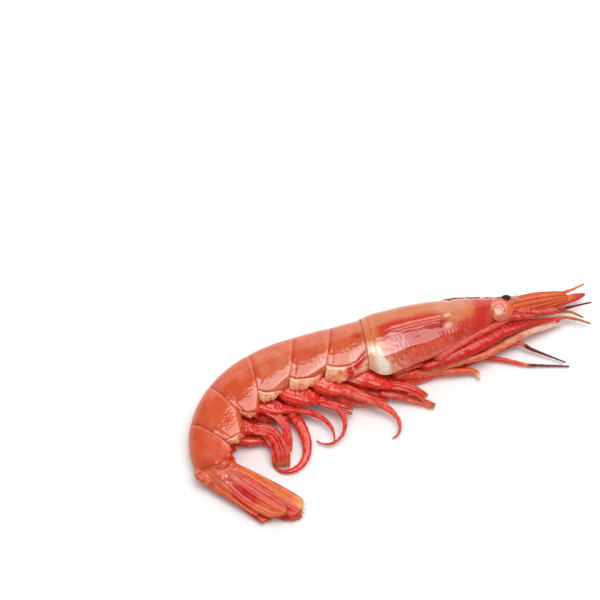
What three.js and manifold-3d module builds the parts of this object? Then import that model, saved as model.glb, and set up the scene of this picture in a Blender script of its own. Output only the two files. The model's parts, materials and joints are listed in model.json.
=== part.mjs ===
// A whole cooked red prawn lying on its left side, with its right side up and its tail curled under.
// Millimetres, +Z up. The head points to +X and the back faces +Y at the head.
// Its length along the body, from rostrum to telson, is about 150 mm.

import * as THREE from "three";
import { mergeVertices } from "three/addons/utils/BufferGeometryUtils.js";
import Module from "manifold-3d";

const wasm = await Module();
wasm.setup();

// Driving dimensions, in millimetres and degrees
const GAP = 0.3;
const REST_FLAT = 0.35;
const FLAP = 1.3;
const BELLY_RECESS = 0.55;
const TUCK_FROM = 0.6;
const SWEEP_POWER = 1.25;
const CARAPACE_BACK = [-8.37, 17.88];
const CARAPACE_HEADING = 16.1;

// Where the tail bends: the length of each somite and the turn of the spine within it, going back
const SOMITES = [
  { length: 10.4, turn: -2.6 },
  { length: 12.5, turn: 1.4 },
  { length: 13.9, turn: 12.8 },
  { length: 13.5, turn: 23.4 },
  { length: 10.4, turn: 24.4 },
  { length: 11.9, turn: 38.1 },
];

// The ring at the back edge of the carapace and of each somite: whole width, height of the back
// above the middle, depth of the side plates below it, how far the plates' tips are swept back,
// the share of the half width by which they curve in, and how far the ring is rolled on the spine
const RINGS = [
  { width: 16.8, back: 9.6, plate: 11.6, sweep: 2.3, tuck: 0.3, roll: 0 },
  { width: 16.2, back: 9.4, plate: 10.6, sweep: 6.2, tuck: 0.24, roll: 0 },
  { width: 15.6, back: 9.2, plate: 10.6, sweep: 5.9, tuck: 0.22, roll: -1 },
  { width: 14.6, back: 9.0, plate: 9.9, sweep: 4.3, tuck: 0.2, roll: -2 },
  { width: 13.4, back: 8.5, plate: 8.7, sweep: 1.7, tuck: 0.18, roll: -4 },
  { width: 12.0, back: 7.9, plate: 7.7, sweep: 4.8, tuck: 0.16, roll: -9 },
  { width: 9.6, back: 6.7, plate: 5.0, sweep: 1.6, tuck: 0.16, roll: -16 },
];

// By what share the near side plate hangs deeper: at the front, in the middle and at the back
const NEAR_DEEPER = { 4: [0, 0.25, 0], 5: [0, 0.25, 0.2], 6: [0.2, 0, 0] };

// Sections of the carapace, by distance in front of its back edge
const CARAPACE = [
  { at: 0, width: 17.8, back: 9.9, plate: 10.2, tuck: 0.36, roll: 0 },
  { at: 4, width: 18.6, back: 10.0, plate: 13.2, tuck: 0.42, roll: 0 },
  { at: 9, width: 19.2, back: 9.9, plate: 12.8, tuck: 0.44, roll: 0 },
  { at: 15, width: 19.4, back: 9.8, plate: 11.9, tuck: 0.44, roll: 0 },
  { at: 22, width: 18.6, back: 9.2, plate: 11.2, tuck: 0.42, roll: 0 },
  { at: 28, width: 17.2, back: 8.4, plate: 10.0, tuck: 0.4, roll: 0 },
  { at: 35, width: 15.0, back: 7.4, plate: 8.2, tuck: 0.36, roll: 0 },
  { at: 41, width: 12.8, back: 5.9, plate: 6.5, tuck: 0.3, roll: 0 },
  { at: 44.5, width: 11.4, back: 5.1, plate: 5.5, tuck: 0.26, roll: 0 },
];
const FRONT_SWEEP = 3.2;
const HEAD_DROP = 1.2;
const ROSTRUM = {
  from: 27, tip: 54, height: 1.25, thickness: 1.1, teeth: 6, first: 30.4, pitch: 3.9, tooth: 0.26,
};

// Colours of the shell and the limbs
const SHELL = 0xdc6440;
const HEAD_RED = 0xd45a3c;
const LIMB_RED = 0xc83a2e;
const LIMB_PALE = 0xd9764c;
const TAIL_ORANGE = 0xdc7440;
const CORNEA = 0x1c1210;

const radians = (degrees) => (degrees * Math.PI) / 180;
const vector = (x, y, z) => new THREE.Vector3(x, y, z);
const mix = (a, b, s) => a + (b - a) * s;
const ease = (x, low, high) => {
  const t = Math.min(1, Math.max(0, (x - low) / (high - low)));
  return t * t * (3 - 2 * t);
};

// A closed mesh lofted through rings of the same count of points, with its end faces triangulated
// from the outline of each end ring
function loft(rings, outline) {
  const count = rings[0].length;
  const positions = rings.flat().flatMap((p) => [p.x, p.y, p.z]);
  const index = [];
  for (let r = 0; r + 1 < rings.length; r++) {
    for (let k = 0; k < count; k++) {
      const a = r * count + k;
      const b = r * count + ((k + 1) % count);
      index.push(a, b, b + count, a, b + count, a + count);
    }
  }
  const faces = THREE.ShapeUtils.triangulateShape(outline, []);
  const last = (rings.length - 1) * count;
  const turned = THREE.ShapeUtils.isClockWise(outline);
  for (const face of faces) {
    const [a, b, c] = turned ? [...face].reverse() : face;
    index.push(c, b, a, last + a, last + b, last + c);
  }
  return facingOut(positions, index);
}

// The mesh as a solid, with its faces turned outwards
function facingOut(positions, index) {
  let volume = 0;
  const p = (i) => vector(positions[3 * i], positions[3 * i + 1], positions[3 * i + 2]);
  for (let t = 0; t < index.length; t += 3) {
    volume += p(index[t]).dot(p(index[t + 1]).cross(p(index[t + 2])));
  }
  if (volume < 0) {
    for (let t = 0; t < index.length; t += 3) {
      [index[t + 1], index[t + 2]] = [index[t + 2], index[t + 1]];
    }
  }
  const geometry = new THREE.BufferGeometry();
  geometry.setAttribute("position", new THREE.Float32BufferAttribute(positions, 3));
  geometry.setIndex(index);
  return toSolid(geometry);
}

function toSolid(geometry) {
  const bare = geometry.clone();
  bare.deleteAttribute("normal");
  bare.deleteAttribute("uv");
  const merged = mergeVertices(bare, 1e-4);
  return new wasm.Manifold(
    new wasm.Mesh({
      numProp: 3,
      vertProperties: new Float32Array(merged.attributes.position.array),
      triVerts: new Uint32Array(merged.index.array),
    }),
  );
}

function toGeometry(solid) {
  const mesh = solid.getMesh();
  const geometry = new THREE.BufferGeometry();
  const points = [];
  for (let v = 0; v < mesh.vertProperties.length; v += mesh.numProp) {
    points.push(mesh.vertProperties[v], mesh.vertProperties[v + 1], mesh.vertProperties[v + 2]);
  }
  geometry.setAttribute("position", new THREE.Float32BufferAttribute(points, 3));
  geometry.setIndex(Array.from(mesh.triVerts));
  return geometry;
}

// Everything that is above the surface the prawn lies on
const ABOVE = toSolid(new THREE.BoxGeometry(400, 400, 100).translate(0, 0, 50));

// The spine: position, heading towards the head and the two side directions, some somites back
function spineFrame(back) {
  let x = CARAPACE_BACK[0];
  let y = CARAPACE_BACK[1];
  let heading = radians(CARAPACE_HEADING);
  let left = back;
  for (const somite of SOMITES) {
    const share = Math.min(1, Math.max(0, left));
    const turn = radians(somite.turn) * share;
    const bow = Math.abs(turn) < 1e-6 ? 1 : Math.sin(turn / 2) / (turn / 2);
    const chord = somite.length * share * bow;
    x -= chord * Math.cos(heading + turn / 2);
    y -= chord * Math.sin(heading + turn / 2);
    heading += turn;
    left -= share;
  }
  return frameAt(x, y, heading);
}

function frameAt(x, y, heading) {
  return {
    centre: vector(x, y, 0),
    ahead: vector(Math.cos(heading), Math.sin(heading), 0),
    dorsal: vector(-Math.sin(heading), Math.cos(heading), 0),
  };
}

// The outline of a body section: x is the height towards the back, y is the distance to the side.
// An arch over the back, side plates that hang below it and curve in towards their tips, and a
// belly set in between them
function bodyOutline({ width, back, plate, tuck, deeper = 0 }, grow) {
  const half = width / 2 + grow;
  const flank = (q) => {
    const low = Math.max(0, (q - TUCK_FROM) / (1 - TUCK_FROM));
    return half * (1 - 0.1 * q * q - tuck * low * low);
  };
  const side = (depth) => {
    const points = [];
    for (let k = 1; k <= 7; k++) {
      const phi = (k / 7) * (Math.PI / 2);
      points.push([(back + grow) * Math.cos(phi), half * Math.sin(phi)]);
    }
    for (const q of [0.35, 0.62, 0.82, 1]) points.push([-(depth + grow) * q, flank(q)]);
    points.push([-(depth + grow), flank(1) - FLAP - 2 * grow]);
    points.push([-plate * BELLY_RECESS - grow, half * 0.8 - FLAP - 2 * grow]);
    return points;
  };
  const right = side(plate * (1 + deeper));
  const left = side(plate).map(([n, b]) => [n, -b]).reverse();
  const points = [[back + grow, 0], ...right, [-plate * (BELLY_RECESS - 0.06) - grow, 0], ...left];
  return points.map(([n, b]) => new THREE.Vector2(n, b));
}

function bodyRing(frame, height, section, grow, sweep) {
  const roll = radians(section.roll);
  return bodyOutline(section, grow).map((p) => {
    const depth = section.plate * (p.y > 0 ? 1 + (section.deeper ?? 0) : 1);
    const down = Math.max(0, (section.back - p.x) / (section.back + depth));
    return frame.centre
      .clone()
      .addScaledVector(frame.dorsal, p.x * Math.cos(roll) - p.y * Math.sin(roll))
      .addScaledVector(frame.ahead, -sweep * down ** SWEEP_POWER)
      .add(vector(0, 0, height + p.y * Math.cos(roll) + p.x * Math.sin(roll)));
  });
}

const ringHeight = (width) => width / 2 - REST_FLAT;

// One tail somite between two rings. Its front is tucked in under the edge ahead of it, its back
// edge flares a little, and its side plates are deepest in the middle of their length
function somiteSolid(number, grow) {
  const front = RINGS[number - 1];
  const rear = RINGS[number];
  const rings = [];
  const steps = [0, 0.3, 0.62, 0.9, 1];
  const flare = [-0.5, 0.05, 0.25, 0.15, 0.1];
  const depth = [0.8, 0.95, 1.02, 0.98, 0.88];
  const length = SOMITES[number - 1].length;
  const [frontDeeper, middleDeeper, rearDeeper] = NEAR_DEEPER[number] ?? [0, 0, 0];
  for (let k = 0; k < steps.length; k++) {
    let s = steps[k];
    const bulge = Math.sin(Math.PI * s) ** 0.7;
    const deeper = frontDeeper * (1 - s) + (k % 4 ? middleDeeper * bulge : 0) + rearDeeper * s;
    if (k === 0) s += (0.25 - grow) / length;
    if (k === steps.length - 1) s += grow / length;
    const section = {
      width: mix(front.width, rear.width, s) + 2 * flare[k],
      back: mix(front.back, rear.back, s) + flare[k],
      plate: mix(front.plate, rear.plate, s) * depth[k],
      tuck: mix(front.tuck, rear.tuck, s),
      roll: mix(front.roll, rear.roll, s),
      deeper,
    };
    const height = ringHeight(mix(front.width, rear.width, s));
    const at = number - 1 + Math.min(s, 1);
    const frame = spineFrame(at);
    if (s > 1) frame.centre.addScaledVector(frame.ahead, -grow);
    rings.push(bodyRing(frame, height, section, grow, mix(front.sweep, rear.sweep, s)));
  }
  return loft(rings, bodyOutline(rear, grow));
}

const carapaceFrame = (at) => {
  const frame = frameAt(...CARAPACE_BACK, radians(CARAPACE_HEADING));
  frame.centre.addScaledVector(frame.ahead, at);
  return frame;
};
const CARAPACE_HEIGHT = ringHeight(19.4);
const carapaceHeight = (at) => CARAPACE_HEIGHT - HEAD_DROP * Math.max(0, (at - 15) / 30) ** 1.5;

function carapaceSolid(grow) {
  const last = CARAPACE.length - 1;
  const rings = CARAPACE.map((section, k) => {
    let at = section.at;
    if (k === 0) at -= grow;
    if (k === last) at += grow;
    const sweep = mix(RINGS[0].sweep, FRONT_SWEEP, section.at / CARAPACE[last].at);
    return bodyRing(carapaceFrame(at), carapaceHeight(section.at), section, grow, sweep);
  });
  return loft(rings, bodyOutline(CARAPACE[0], grow));
}

function carapaceBack(at) {
  for (let k = 0; k + 1 < CARAPACE.length; k++) {
    const [a, b] = [CARAPACE[k], CARAPACE[k + 1]];
    if (at <= b.at) return mix(a.back, b.back, (at - a.at) / (b.at - a.at));
  }
  return mix(5.1, 3.9, (at - 44.5) / 9.5);
}

// The rostrum: a thin toothed crest along the back that runs out over the eyes
function rostrumSolid(grow) {
  const upper = [[ROSTRUM.from, carapaceBack(ROSTRUM.from) + grow]];
  const crest = (at) => ROSTRUM.height * ease(at, ROSTRUM.from, 30) * (1 - 0.6 * ease(at, 40, ROSTRUM.tip));
  for (let k = 0; k < ROSTRUM.teeth; k++) {
    const a = ROSTRUM.first + ROSTRUM.pitch * k;
    const b = a + ROSTRUM.pitch * 0.9;
    upper.push([a, carapaceBack(a) + crest(a) + grow]);
    upper.push([b, carapaceBack(b) + crest(b) + ROSTRUM.tooth + grow]);
  }
  const points = upper.map(([u, n]) => new THREE.Vector2(u, n));
  points.push(new THREE.Vector2(ROSTRUM.tip + grow, carapaceBack(ROSTRUM.tip) + grow));
  points.push(new THREE.Vector2(ROSTRUM.tip + grow, carapaceBack(ROSTRUM.tip) - 0.5 - grow));
  points.push(new THREE.Vector2(44, carapaceBack(44) - 1.6 - grow));
  points.push(new THREE.Vector2(40, carapaceBack(40) - 2));
  points.push(new THREE.Vector2(ROSTRUM.from, carapaceBack(ROSTRUM.from) - 2));
  const half = ROSTRUM.thickness / 2 + grow;
  const rings = [-1, 1].map((side) =>
    points.map((p) => {
      const frame = carapaceFrame(p.x);
      const z = carapaceHeight(p.x) + side * half;
      return frame.centre.clone().addScaledVector(frame.dorsal, p.y).add(vector(0, 0, z));
    }),
  );
  return loft(rings, points);
}

// A chain of straight stretches, each with its length, heading and climb
function chain(root, stretches) {
  const points = [vector(...root)];
  for (const [length, heading, climb] of stretches) {
    const level = length * Math.cos(radians(climb));
    const step = vector(
      level * Math.cos(radians(heading)),
      level * Math.sin(radians(heading)),
      length * Math.sin(radians(climb)),
    );
    points.push(points[points.length - 1].clone().add(step));
  }
  return points;
}

// A curl: its heading turns by a power of the length travelled, and its height sinks evenly
function curl({ start, low, length, heading, turn, power }, steps) {
  const points = [vector(...start)];
  for (let k = 0; k < steps; k++) {
    const angle = radians(heading + turn * ((k + 0.5) / steps) ** power);
    const last = points[points.length - 1];
    const step = length / steps;
    const z = mix(start[2], low, (k + 1) / steps);
    points.push(vector(last.x + step * Math.cos(angle), last.y + step * Math.sin(angle), z));
  }
  return points;
}

// A tapering limb along points: widths lie level and heights stand up, both evenly spread
function limb({ points, widths, heights = widths, sides = 8, steps }, grow = 0) {
  const curve = new THREE.CatmullRomCurve3(points, false, "centripetal");
  const count = steps ?? Math.max(4, Math.min(14, points.length * 2));
  const outline = [];
  for (let k = 0; k < sides; k++) {
    const angle = ((k + 0.5) / sides) * 2 * Math.PI;
    outline.push(new THREE.Vector2(Math.cos(angle), Math.sin(angle)));
  }
  const rings = [];
  for (let r = 0; r <= count; r++) {
    const s = r / count;
    const centre = curve.getPointAt(s);
    const along = curve.getTangentAt(s);
    const across = vector(-along.y, along.x, 0).normalize();
    const upright = along.clone().cross(across).normalize();
    if (r === 0) centre.addScaledVector(along, -grow);
    if (r === count) centre.addScaledVector(along, grow);
    const w = spread(widths, s) / 2 + grow;
    const h = spread(heights, s) / 2 + grow;
    rings.push(
      outline.map((p) =>
        centre.clone().addScaledVector(across, p.x * w).addScaledVector(upright, p.y * h),
      ),
    );
  }
  return loft(rings, outline);
}

function spread(values, s) {
  const at = s * (values.length - 1);
  const k = Math.min(values.length - 2, Math.floor(at));
  return mix(values[k], values[k + 1], at - k);
}

// A flat leaf: widths lie across it, thick in the middle and thin at its edges, rolled on its axis
function leaf({ base, heading, climb, length, widths, thickness, roll, bow = 0, skew = 0 }, grow = 0) {
  const h = radians(heading);
  const c = radians(climb);
  const along = vector(Math.cos(h) * Math.cos(c), Math.sin(h) * Math.cos(c), Math.sin(c));
  const level = vector(-Math.sin(h), Math.cos(h), 0);
  const across = level.applyAxisAngle(along, radians(roll));
  const face = along.clone().cross(across).normalize();
  const outline = [
    [0.5, 0], [0.3, 0.42], [0, 0.5], [-0.3, 0.42],
    [-0.5, 0], [-0.3, -0.42], [0, -0.5], [0.3, -0.42],
  ].map(([x, y]) => new THREE.Vector2(x, y));
  const rings = [];
  const count = widths.length - 1;
  for (let r = 0; r <= count; r++) {
    const s = r / count;
    const centre = vector(...base).addScaledVector(along, length * s);
    centre.addScaledVector(face, bow * Math.sin(Math.PI * s));
    centre.addScaledVector(across, skew * Math.sin(Math.PI * s));
    if (r === 0) centre.addScaledVector(along, -grow);
    if (r === count) centre.addScaledVector(along, grow);
    const w = widths[r] + 2 * grow;
    const t = spread(thickness, s) + 2 * grow;
    rings.push(
      outline.map((p) =>
        centre.clone().addScaledVector(across, p.x * w).addScaledVector(face, p.y * t),
      ),
    );
  }
  return loft(rings, outline);
}

function ball(centre, radii, heading, grow = 0) {
  const geometry = new THREE.SphereGeometry(1, 11, 7);
  geometry.scale(radii[0] + grow, radii[1] + grow, radii[2] + grow);
  geometry.rotateZ(radians(heading));
  geometry.translate(...centre);
  return toSolid(geometry);
}

const group = new THREE.Group();
const placed = [];

function overlaps(a, b) {
  return [0, 1, 2].every((k) => a.min[k] < b.max[k] && b.min[k] < a.max[k]);
}

// Adds a piece: what is placed already is cut out of it with the gap all round, and the largest
// body that is left is kept. The maker builds the piece larger all round by what it is given
function addPiece(name, color, maker, roughness = 0.3) {
  let solid = maker(0).intersect(ABOVE);
  const box = solid.boundingBox();
  for (const other of placed) {
    if (overlaps(box, other.box)) solid = solid.subtract(other.solid);
  }
  const bodies = solid.decompose().sort((a, b) => b.volume() - a.volume());
  const kept = bodies[0];
  const material = new THREE.MeshStandardMaterial({ color, roughness, metalness: 0 });
  const mesh = new THREE.Mesh(toGeometry(kept), material);
  mesh.name = name;
  group.add(mesh);
  const grown = maker(GAP);
  placed.push({ solid: grown, box: grown.boundingBox() });
}

const limbs = (...parts) => (grow) =>
  parts.map((part) => limb(part, grow)).reduce((all, one) => all.add(one));

// The shell of the head and the six somites of the tail
addPiece("carapace", HEAD_RED, (grow) => carapaceSolid(grow).add(rostrumSolid(grow)), 0.25);
for (let k = 1; k <= SOMITES.length; k++) {
  addPiece(`somite_${k}`, SHELL, (grow) => somiteSolid(k, grow), 0.22);
}

// The tail fan: the telson along the back edge, and the right uropods over the left ones
addPiece("telson", TAIL_ORANGE, (grow) =>
  leaf({
    base: [-61.5, -23.6, 5.2], heading: -40, climb: -5, length: 23, roll: 38,
    widths: [7.2, 7.6, 6.6, 5.2, 3.8, 2.6, 1], thickness: [4.2, 3.2, 2.2, 1.2],
  }, grow));
addPiece("uropod_endopod_right", TAIL_ORANGE, (grow) =>
  leaf({
    base: [-56.2, -23.6, 6.6], heading: -34, climb: -4, length: 25.6, roll: 12, skew: -1.2,
    widths: [3.6, 6.4, 8, 8.6, 8.6, 7.8, 3.6], thickness: [2.6, 2, 1.4, 0.9],
  }, grow));
addPiece("uropod_exopod_right", TAIL_ORANGE, (grow) =>
  leaf({
    base: [-54, -22.4, 6.2], heading: -31.5, climb: -5, length: 27.8, roll: 4,
    widths: [3.6, 5, 6, 6.8, 7.4, 7.8, 5.8], thickness: [2.8, 2, 1.4, 0.9],
  }, grow));
addPiece("uropod_endopod_left", TAIL_ORANGE, (grow) =>
  leaf({
    base: [-57, -23.8, 2.6], heading: -42, climb: -2, length: 22.4, roll: -6,
    widths: [3.4, 6, 7.4, 7.6, 7.2, 6.4, 4.6], thickness: [2.2, 1.8, 1.4, 0.9],
  }, grow));
addPiece("uropod_exopod_left", TAIL_ORANGE, (grow) =>
  leaf({
    base: [-54, -21.8, 1.8], heading: -34.2, climb: -1.5, length: 28.6, roll: 0,
    widths: [3.2, 5.4, 7.2, 8.6, 9.6, 9.2, 4.4], thickness: [2.2, 1.8, 1.4, 0.9],
  }, grow));

// The swimming legs under the tail. Each has a stout base and two rami: a long whip that curls
// round and a shorter one inside it
const PLEOPODS = [
  {
    name: "pleopod_1_right", root: [-15.4, 11.5, 10], base: [[4, -70, 0], [6.7, -14, -3], [8, -18, -8]],
    baseWidths: [4.6, 6.2, 6.6, 6.2], baseHeights: [3.2, 4.4, 4.4, 3.4],
    whip: { start: [-3.5, 4.4, 8], low: 4.6, length: 15.4, heading: 10, turn: -50, power: 1.22 },
    whipWidths: [3.3, 3.5, 3.7, 3.8, 3.8, 3.2],
    shortFrom: [-4.5, 3, 6.6], short: [[5, -4, -14], [5, -8, -12]],
  },
  {
    name: "pleopod_2_right", root: [-25.8, 9.2, 10.5], base: [[4, -75, 0], [11.5, -19, -8]],
    baseWidths: [4.8, 7.2, 7.8, 5.4], baseHeights: [3.6, 5, 4.6, 2.8],
    whip: { start: [-15.8, 2.6, 9.2], low: 1, length: 27.2, heading: -16, turn: -163, power: 4 },
    whipWidths: [4.6, 4.4, 3.7, 2.7, 1.7, 1.1, 0.8], short: [[7, -14, -12], [5, -16, -14]],
  },
  {
    name: "pleopod_3_right", root: [-36.2, 5.2, 10], base: [[4, -70, 0], [12.2, -12, -10]],
    baseWidths: [4.8, 6.8, 7.2, 4.6], baseHeights: [3.6, 4.8, 4.4, 2.6],
    whip: { start: [-24.9, -0.6, 8.2], low: 0.8, length: 26.4, heading: -2, turn: -228, power: 1.37 },
    whipWidths: [3.6, 2.6, 2, 1.7, 1.3, 1, 0.8, 0.7], short: [[7, -12, -14], [5, -14, -14]],
  },
  {
    name: "pleopod_4_right", root: [-44.6, 0.6, 9], base: [[3.6, -65, 0], [10.2, -8, -12]],
    whip: { start: [-34.9, -3.6, 7.3], low: 1.5, length: 21.2, heading: 1, turn: -104, power: 2.13 },
    whipWidths: [3.4, 2.4, 2, 1.7, 1, 0.7], shortFrom: [-42.7, -4, 8],
    short: [[5.3, -21, -9], [4.9, -51, -17], [4.6, -81, -20], [3.2, -96, -22]],
  },
  {
    name: "pleopod_5_right", root: [-52.2, -7.6, 8], base: [[3.2, -50, 0], [7.6, -5, -8]],
    baseWidths: [4.2, 5.6, 5.6, 4.8],
    whip: { start: [-43.7, -10.6, 7.2], low: 2, length: 15.8, heading: 36, turn: -136, power: 0.52 },
    whipWidths: [4.2, 4.5, 4.7, 4.9, 5.1, 4.6], short: [[4, -22, -16], [5, -60, -18], [5, -88, -16]],
  },
  {
    name: "pleopod_1_left", root: [-15.2, 9.2, 5.6], base: [[4, -75, -8], [8.4, -17, -4]],
    baseWidths: [4.6, 7.4, 8, 7], baseHeights: [3.4, 4.4, 4.4, 3.8],
    whip: { start: [-7.2, 3.8, 4.7], low: 1.4, length: 21.8, heading: -7, turn: -22, power: 4 },
    whipWidths: [2.6, 2.8, 2.8, 2.9, 2.8, 2.4],
    shortFrom: [-5.6, 4.6, 5.4], short: [[6, -4, -8], [5, -8, -8]],
  },
  {
    name: "pleopod_2_left", root: [-25.8, 9.4, 5.4], base: [[4, -75, -4], [9.8, -12, -2]],
    baseWidths: [4.6, 7.6, 8.6, 8.6], baseHeights: [3.4, 4.4, 4.4, 3.8],
    whip: { start: [-20, 3.4, 5], low: 2.4, length: 19, heading: -5, turn: -2, power: 1 },
    whipWidths: [7, 7.6, 7.4, 6.4, 4, 1.4], whipHeights: [3.6, 4, 3.6, 2.6, 1.4],
    short: [[6, 2, -2], [6, 0, -3]],
  },
  {
    name: "pleopod_3_left", root: [-36.6, 6.8, 5], base: [[4, -75, -4], [10.2, 4, -2]],
    baseWidths: [4.4, 7.2, 8, 7.8], baseHeights: [3.4, 4.2, 4.2, 3.8],
    whip: { start: [-29, 3.4, 4.4], low: 2.2, length: 15, heading: -3, turn: -4, power: 1 },
    whipWidths: [6.8, 7, 6.4, 5, 3, 1.2], whipHeights: [3.4, 3.8, 3.4, 2.4, 1.4],
    short: [[6, 2, -4], [4, 0, -2]],
  },
  {
    name: "pleopod_4_left", root: [-44, -0.6, 4.4], base: [[3.6, -70, -6], [11, -5, -2]],
    whip: { start: [-33.3, -3.4, 3.7], low: 0.8, length: 30.8, heading: -54, turn: -200, power: 2.01 },
    whipWidths: [4.2, 3.8, 3.1, 2.3, 1.4, 0.8],
    shortFrom: [-34.2, -2.6, 5.6], short: [[3.6, -60, -22], [3.6, -62, -24]],
  },
  {
    name: "pleopod_5_left", root: [-52, -9.4, 3.8], base: [[3.2, -50, -4], [9.6, -5, 0]],
    whip: { start: [-42, -12.6, 3.2], low: 1.7, length: 10.6, heading: -10, turn: -78, power: 0.6 },
    short: [[4, -40, -6], [4, -66, -4]],
  },
];
const BASE_WIDTHS = [4.4, 5.8, 5.2, 3.8];
const BASE_HEIGHTS = [2.8, 3.2, 2.8, 2.2];
const WHIP_WIDTHS = [2.8, 3, 2.6, 2, 1.3, 0.8];
const WHIP_HEIGHTS = [1.8, 1.8, 1.5, 1.2, 0.8];
for (const pod of PLEOPODS) {
  const trunk = chain(pod.root, pod.base);
  const end = trunk[trunk.length - 1];
  const inner = chain(pod.shortFrom ?? [end.x - 1.4, end.y + 0.2, end.z - 0.3], pod.short);
  const steps = Math.abs(pod.whip.turn) > 90 ? 9 : 4;
  addPiece(pod.name, LIMB_RED, limbs(
    {
      points: trunk, widths: pod.baseWidths ?? BASE_WIDTHS, heights: pod.baseHeights ?? BASE_HEIGHTS,
      sides: 6, steps: 4,
    },
    {
      points: curl(pod.whip, 14), widths: pod.whipWidths ?? WHIP_WIDTHS,
      heights: pod.whipHeights ?? WHIP_HEIGHTS, sides: 6, steps,
    },
    { points: inner, widths: [2.8, 3, 3, 2.4], heights: [1.5, 1.6, 1.5, 1.1], sides: 6, steps: 4 },
  ));
}

// The mouth-foot pair and the five pairs of walking legs, from the root under the carapace's edge
const LEGS = [
  {
    name: "maxilliped_right", color: LIMB_RED, root: [8.2, 17, 9],
    path: [
      [6.4, -66, -4], [10.7, 21, 5], [9.5, 27, 0], [8.1, 31, -4], [7.4, 21, -8], [11.6, 15, -7],
      [2.6, -20, -11],
    ],
    widths: [2.6, 3.8, 5, 5.4, 5, 3.6, 2, 0.7], flat: 0.6,
  },
  {
    name: "leg_1_right", color: HEAD_RED, root: [12.6, 17.6, 11],
    path: [[5.4, -66, 4], [7.3, 34, 6], [6.4, 32, 0], [6.9, 28, -2], [7.5, 31, -11], [7.4, 8, -12]],
    widths: [2.2, 2.4, 2.4, 2.3, 2.1, 1.7, 0.9],
  },
  {
    name: "leg_2_right", color: LIMB_PALE, root: [10.4, 15.8, 7.6],
    path: [
      [5.6, -66, -14], [11, 14, 4], [6.2, 14, 2], [6.4, 27, 0], [7.6, 33, -6], [6.4, 29, -6],
      [5.4, 21, -11], [6.3, 18, -9],
    ],
    widths: [2.4, 2.5, 2.5, 2.5, 2.4, 2.5, 2.3, 0.9],
  },
  {
    name: "leg_5_right", color: LIMB_PALE, root: [-1, 13.6, 8],
    path: [[5.8, -66, -18], [8.2, 10, -6], [6.8, 9, -7], [10.9, 4, -8], [2.4, -25, -20], [1.9, -83, -18]],
    widths: [2.6, 3.2, 3.4, 2.9, 2.6, 2.2, 1.7],
  },
  {
    name: "leg_4_right", color: LIMB_PALE, root: [-1.4, 13.4, 10.6],
    path: [[5.4, -66, -10], [5.3, 21, -3], [5.7, 19, -7]],
    widths: [2.2, 2.2, 2, 1.6],
  },
  {
    name: "leg_3_right", color: LIMB_RED, root: [8.6, 14.8, 5.6],
    path: [
      [5.2, -60, -12], [9.6, 24, 0], [8.6, 18, -3], [7.6, 15, 0], [5.8, 21, 2], [2.4, 6, -5],
      [4, -26, -18], [12.5, -20, -6],
    ],
    widths: [2.2, 2.4, 2.4, 2.4, 2.1, 1.5, 0.8, 0.7],
  },
  {
    name: "leg_1_left", color: LIMB_PALE, root: [13.4, 18.4, 5],
    path: [[5.4, -64, -16], [14.4, 21, 4], [14.7, 22, 0], [6.1, 20, -7], [3.4, 16, -12]],
    widths: [2, 2.6, 2.6, 2.4, 1.9, 0.8],
  },
  {
    name: "maxilliped_left", color: LIMB_RED, root: [9.4, 17.6, 5.4],
    path: [[5.4, -64, -10], [10, 22, 4], [10, 26, 0], [8, 28, -3], [6, 22, -6]],
    widths: [2.4, 3.2, 3.8, 3.8, 3.2, 2], flat: 0.7,
  },
  {
    name: "leg_3_left", color: LIMB_RED, root: [8.4, 13.6, 3.4],
    path: [[4.4, -58, -12], [12.6, 17, 0], [8.6, 21, 0], [6.1, -5, -4], [8.5, -12, -4], [14.5, -1, -2]],
    widths: [2, 2.2, 2.1, 1.8, 1.3, 0.8, 0.7],
  },
  {
    name: "leg_2_left", color: LIMB_PALE, root: [9.6, 17, 3],
    path: [[4.8, -64, -8], [12, 20, -2], [12, 24, -2]],
    widths: [1.8, 1.8, 1.6, 1],
  },
  {
    name: "leg_4_left", color: LIMB_PALE, root: [-1, 12.8, 4.6],
    path: [[5.2, -66, -16], [9, 10, -2], [8, 12, -3], [6, 8, -3]],
    widths: [2.4, 3.1, 3.1, 2.3, 1.2],
  },
  {
    name: "leg_5_left", color: LIMB_PALE, root: [-2.6, 13.2, 3.6],
    path: [[5.6, -70, -12], [8, 8, -2], [9, 12, -2]],
    widths: [3.2, 4.6, 4.6, 3.6, 1.8],
  },
];
for (const { name, color, root, path, widths, flat = 1 } of LEGS) {
  const heights = widths.map((width) => width * flat);
  addPiece(name, color, limbs({ points: chain(root, path), widths, heights, sides: 6 }), 0.35);
}

// The head's front: scales, feelers and stalked eyes
const SCALE_WIDTHS = [3.6, 6.4, 7.6, 7.8, 7, 5.2, 2.2];
addPiece("scale_right", TAIL_ORANGE, (grow) =>
  leaf({
    base: [34.4, 29.6, 11.6], heading: 13.5, climb: -3, length: 25.6, roll: 42, bow: 0.4,
    widths: SCALE_WIDTHS, thickness: [1.8, 1.4, 1.1, 0.8],
  }, grow).add(limb({
    points: chain([54.6, 35.6, 11.4], [[6, 20, -6], [5.6, 30, -8]]),
    widths: [1.2, 1, 0.7], sides: 6,
  }, grow)));
addPiece("scale_left", LIMB_RED, (grow) =>
  leaf({
    base: [34.4, 30.4, 5.6], heading: 15, climb: -1, length: 32.6, roll: -40, bow: -0.6,
    widths: SCALE_WIDTHS, thickness: [1.8, 1.4, 1.1, 0.8],
  }, grow));
addPiece("antenna_right", LIMB_RED, limbs({
  points: chain([33, 27.2, 11.6], [
    [4, 6, 0], [5.9, 6, -8], [7.2, 10, -12], [5.8, 13, -10], [5, 7, -12], [5, -19, -18],
  ]),
  widths: [3.2, 3, 2.8, 1.8, 1.2, 1, 0.7], sides: 6,
}));
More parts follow.
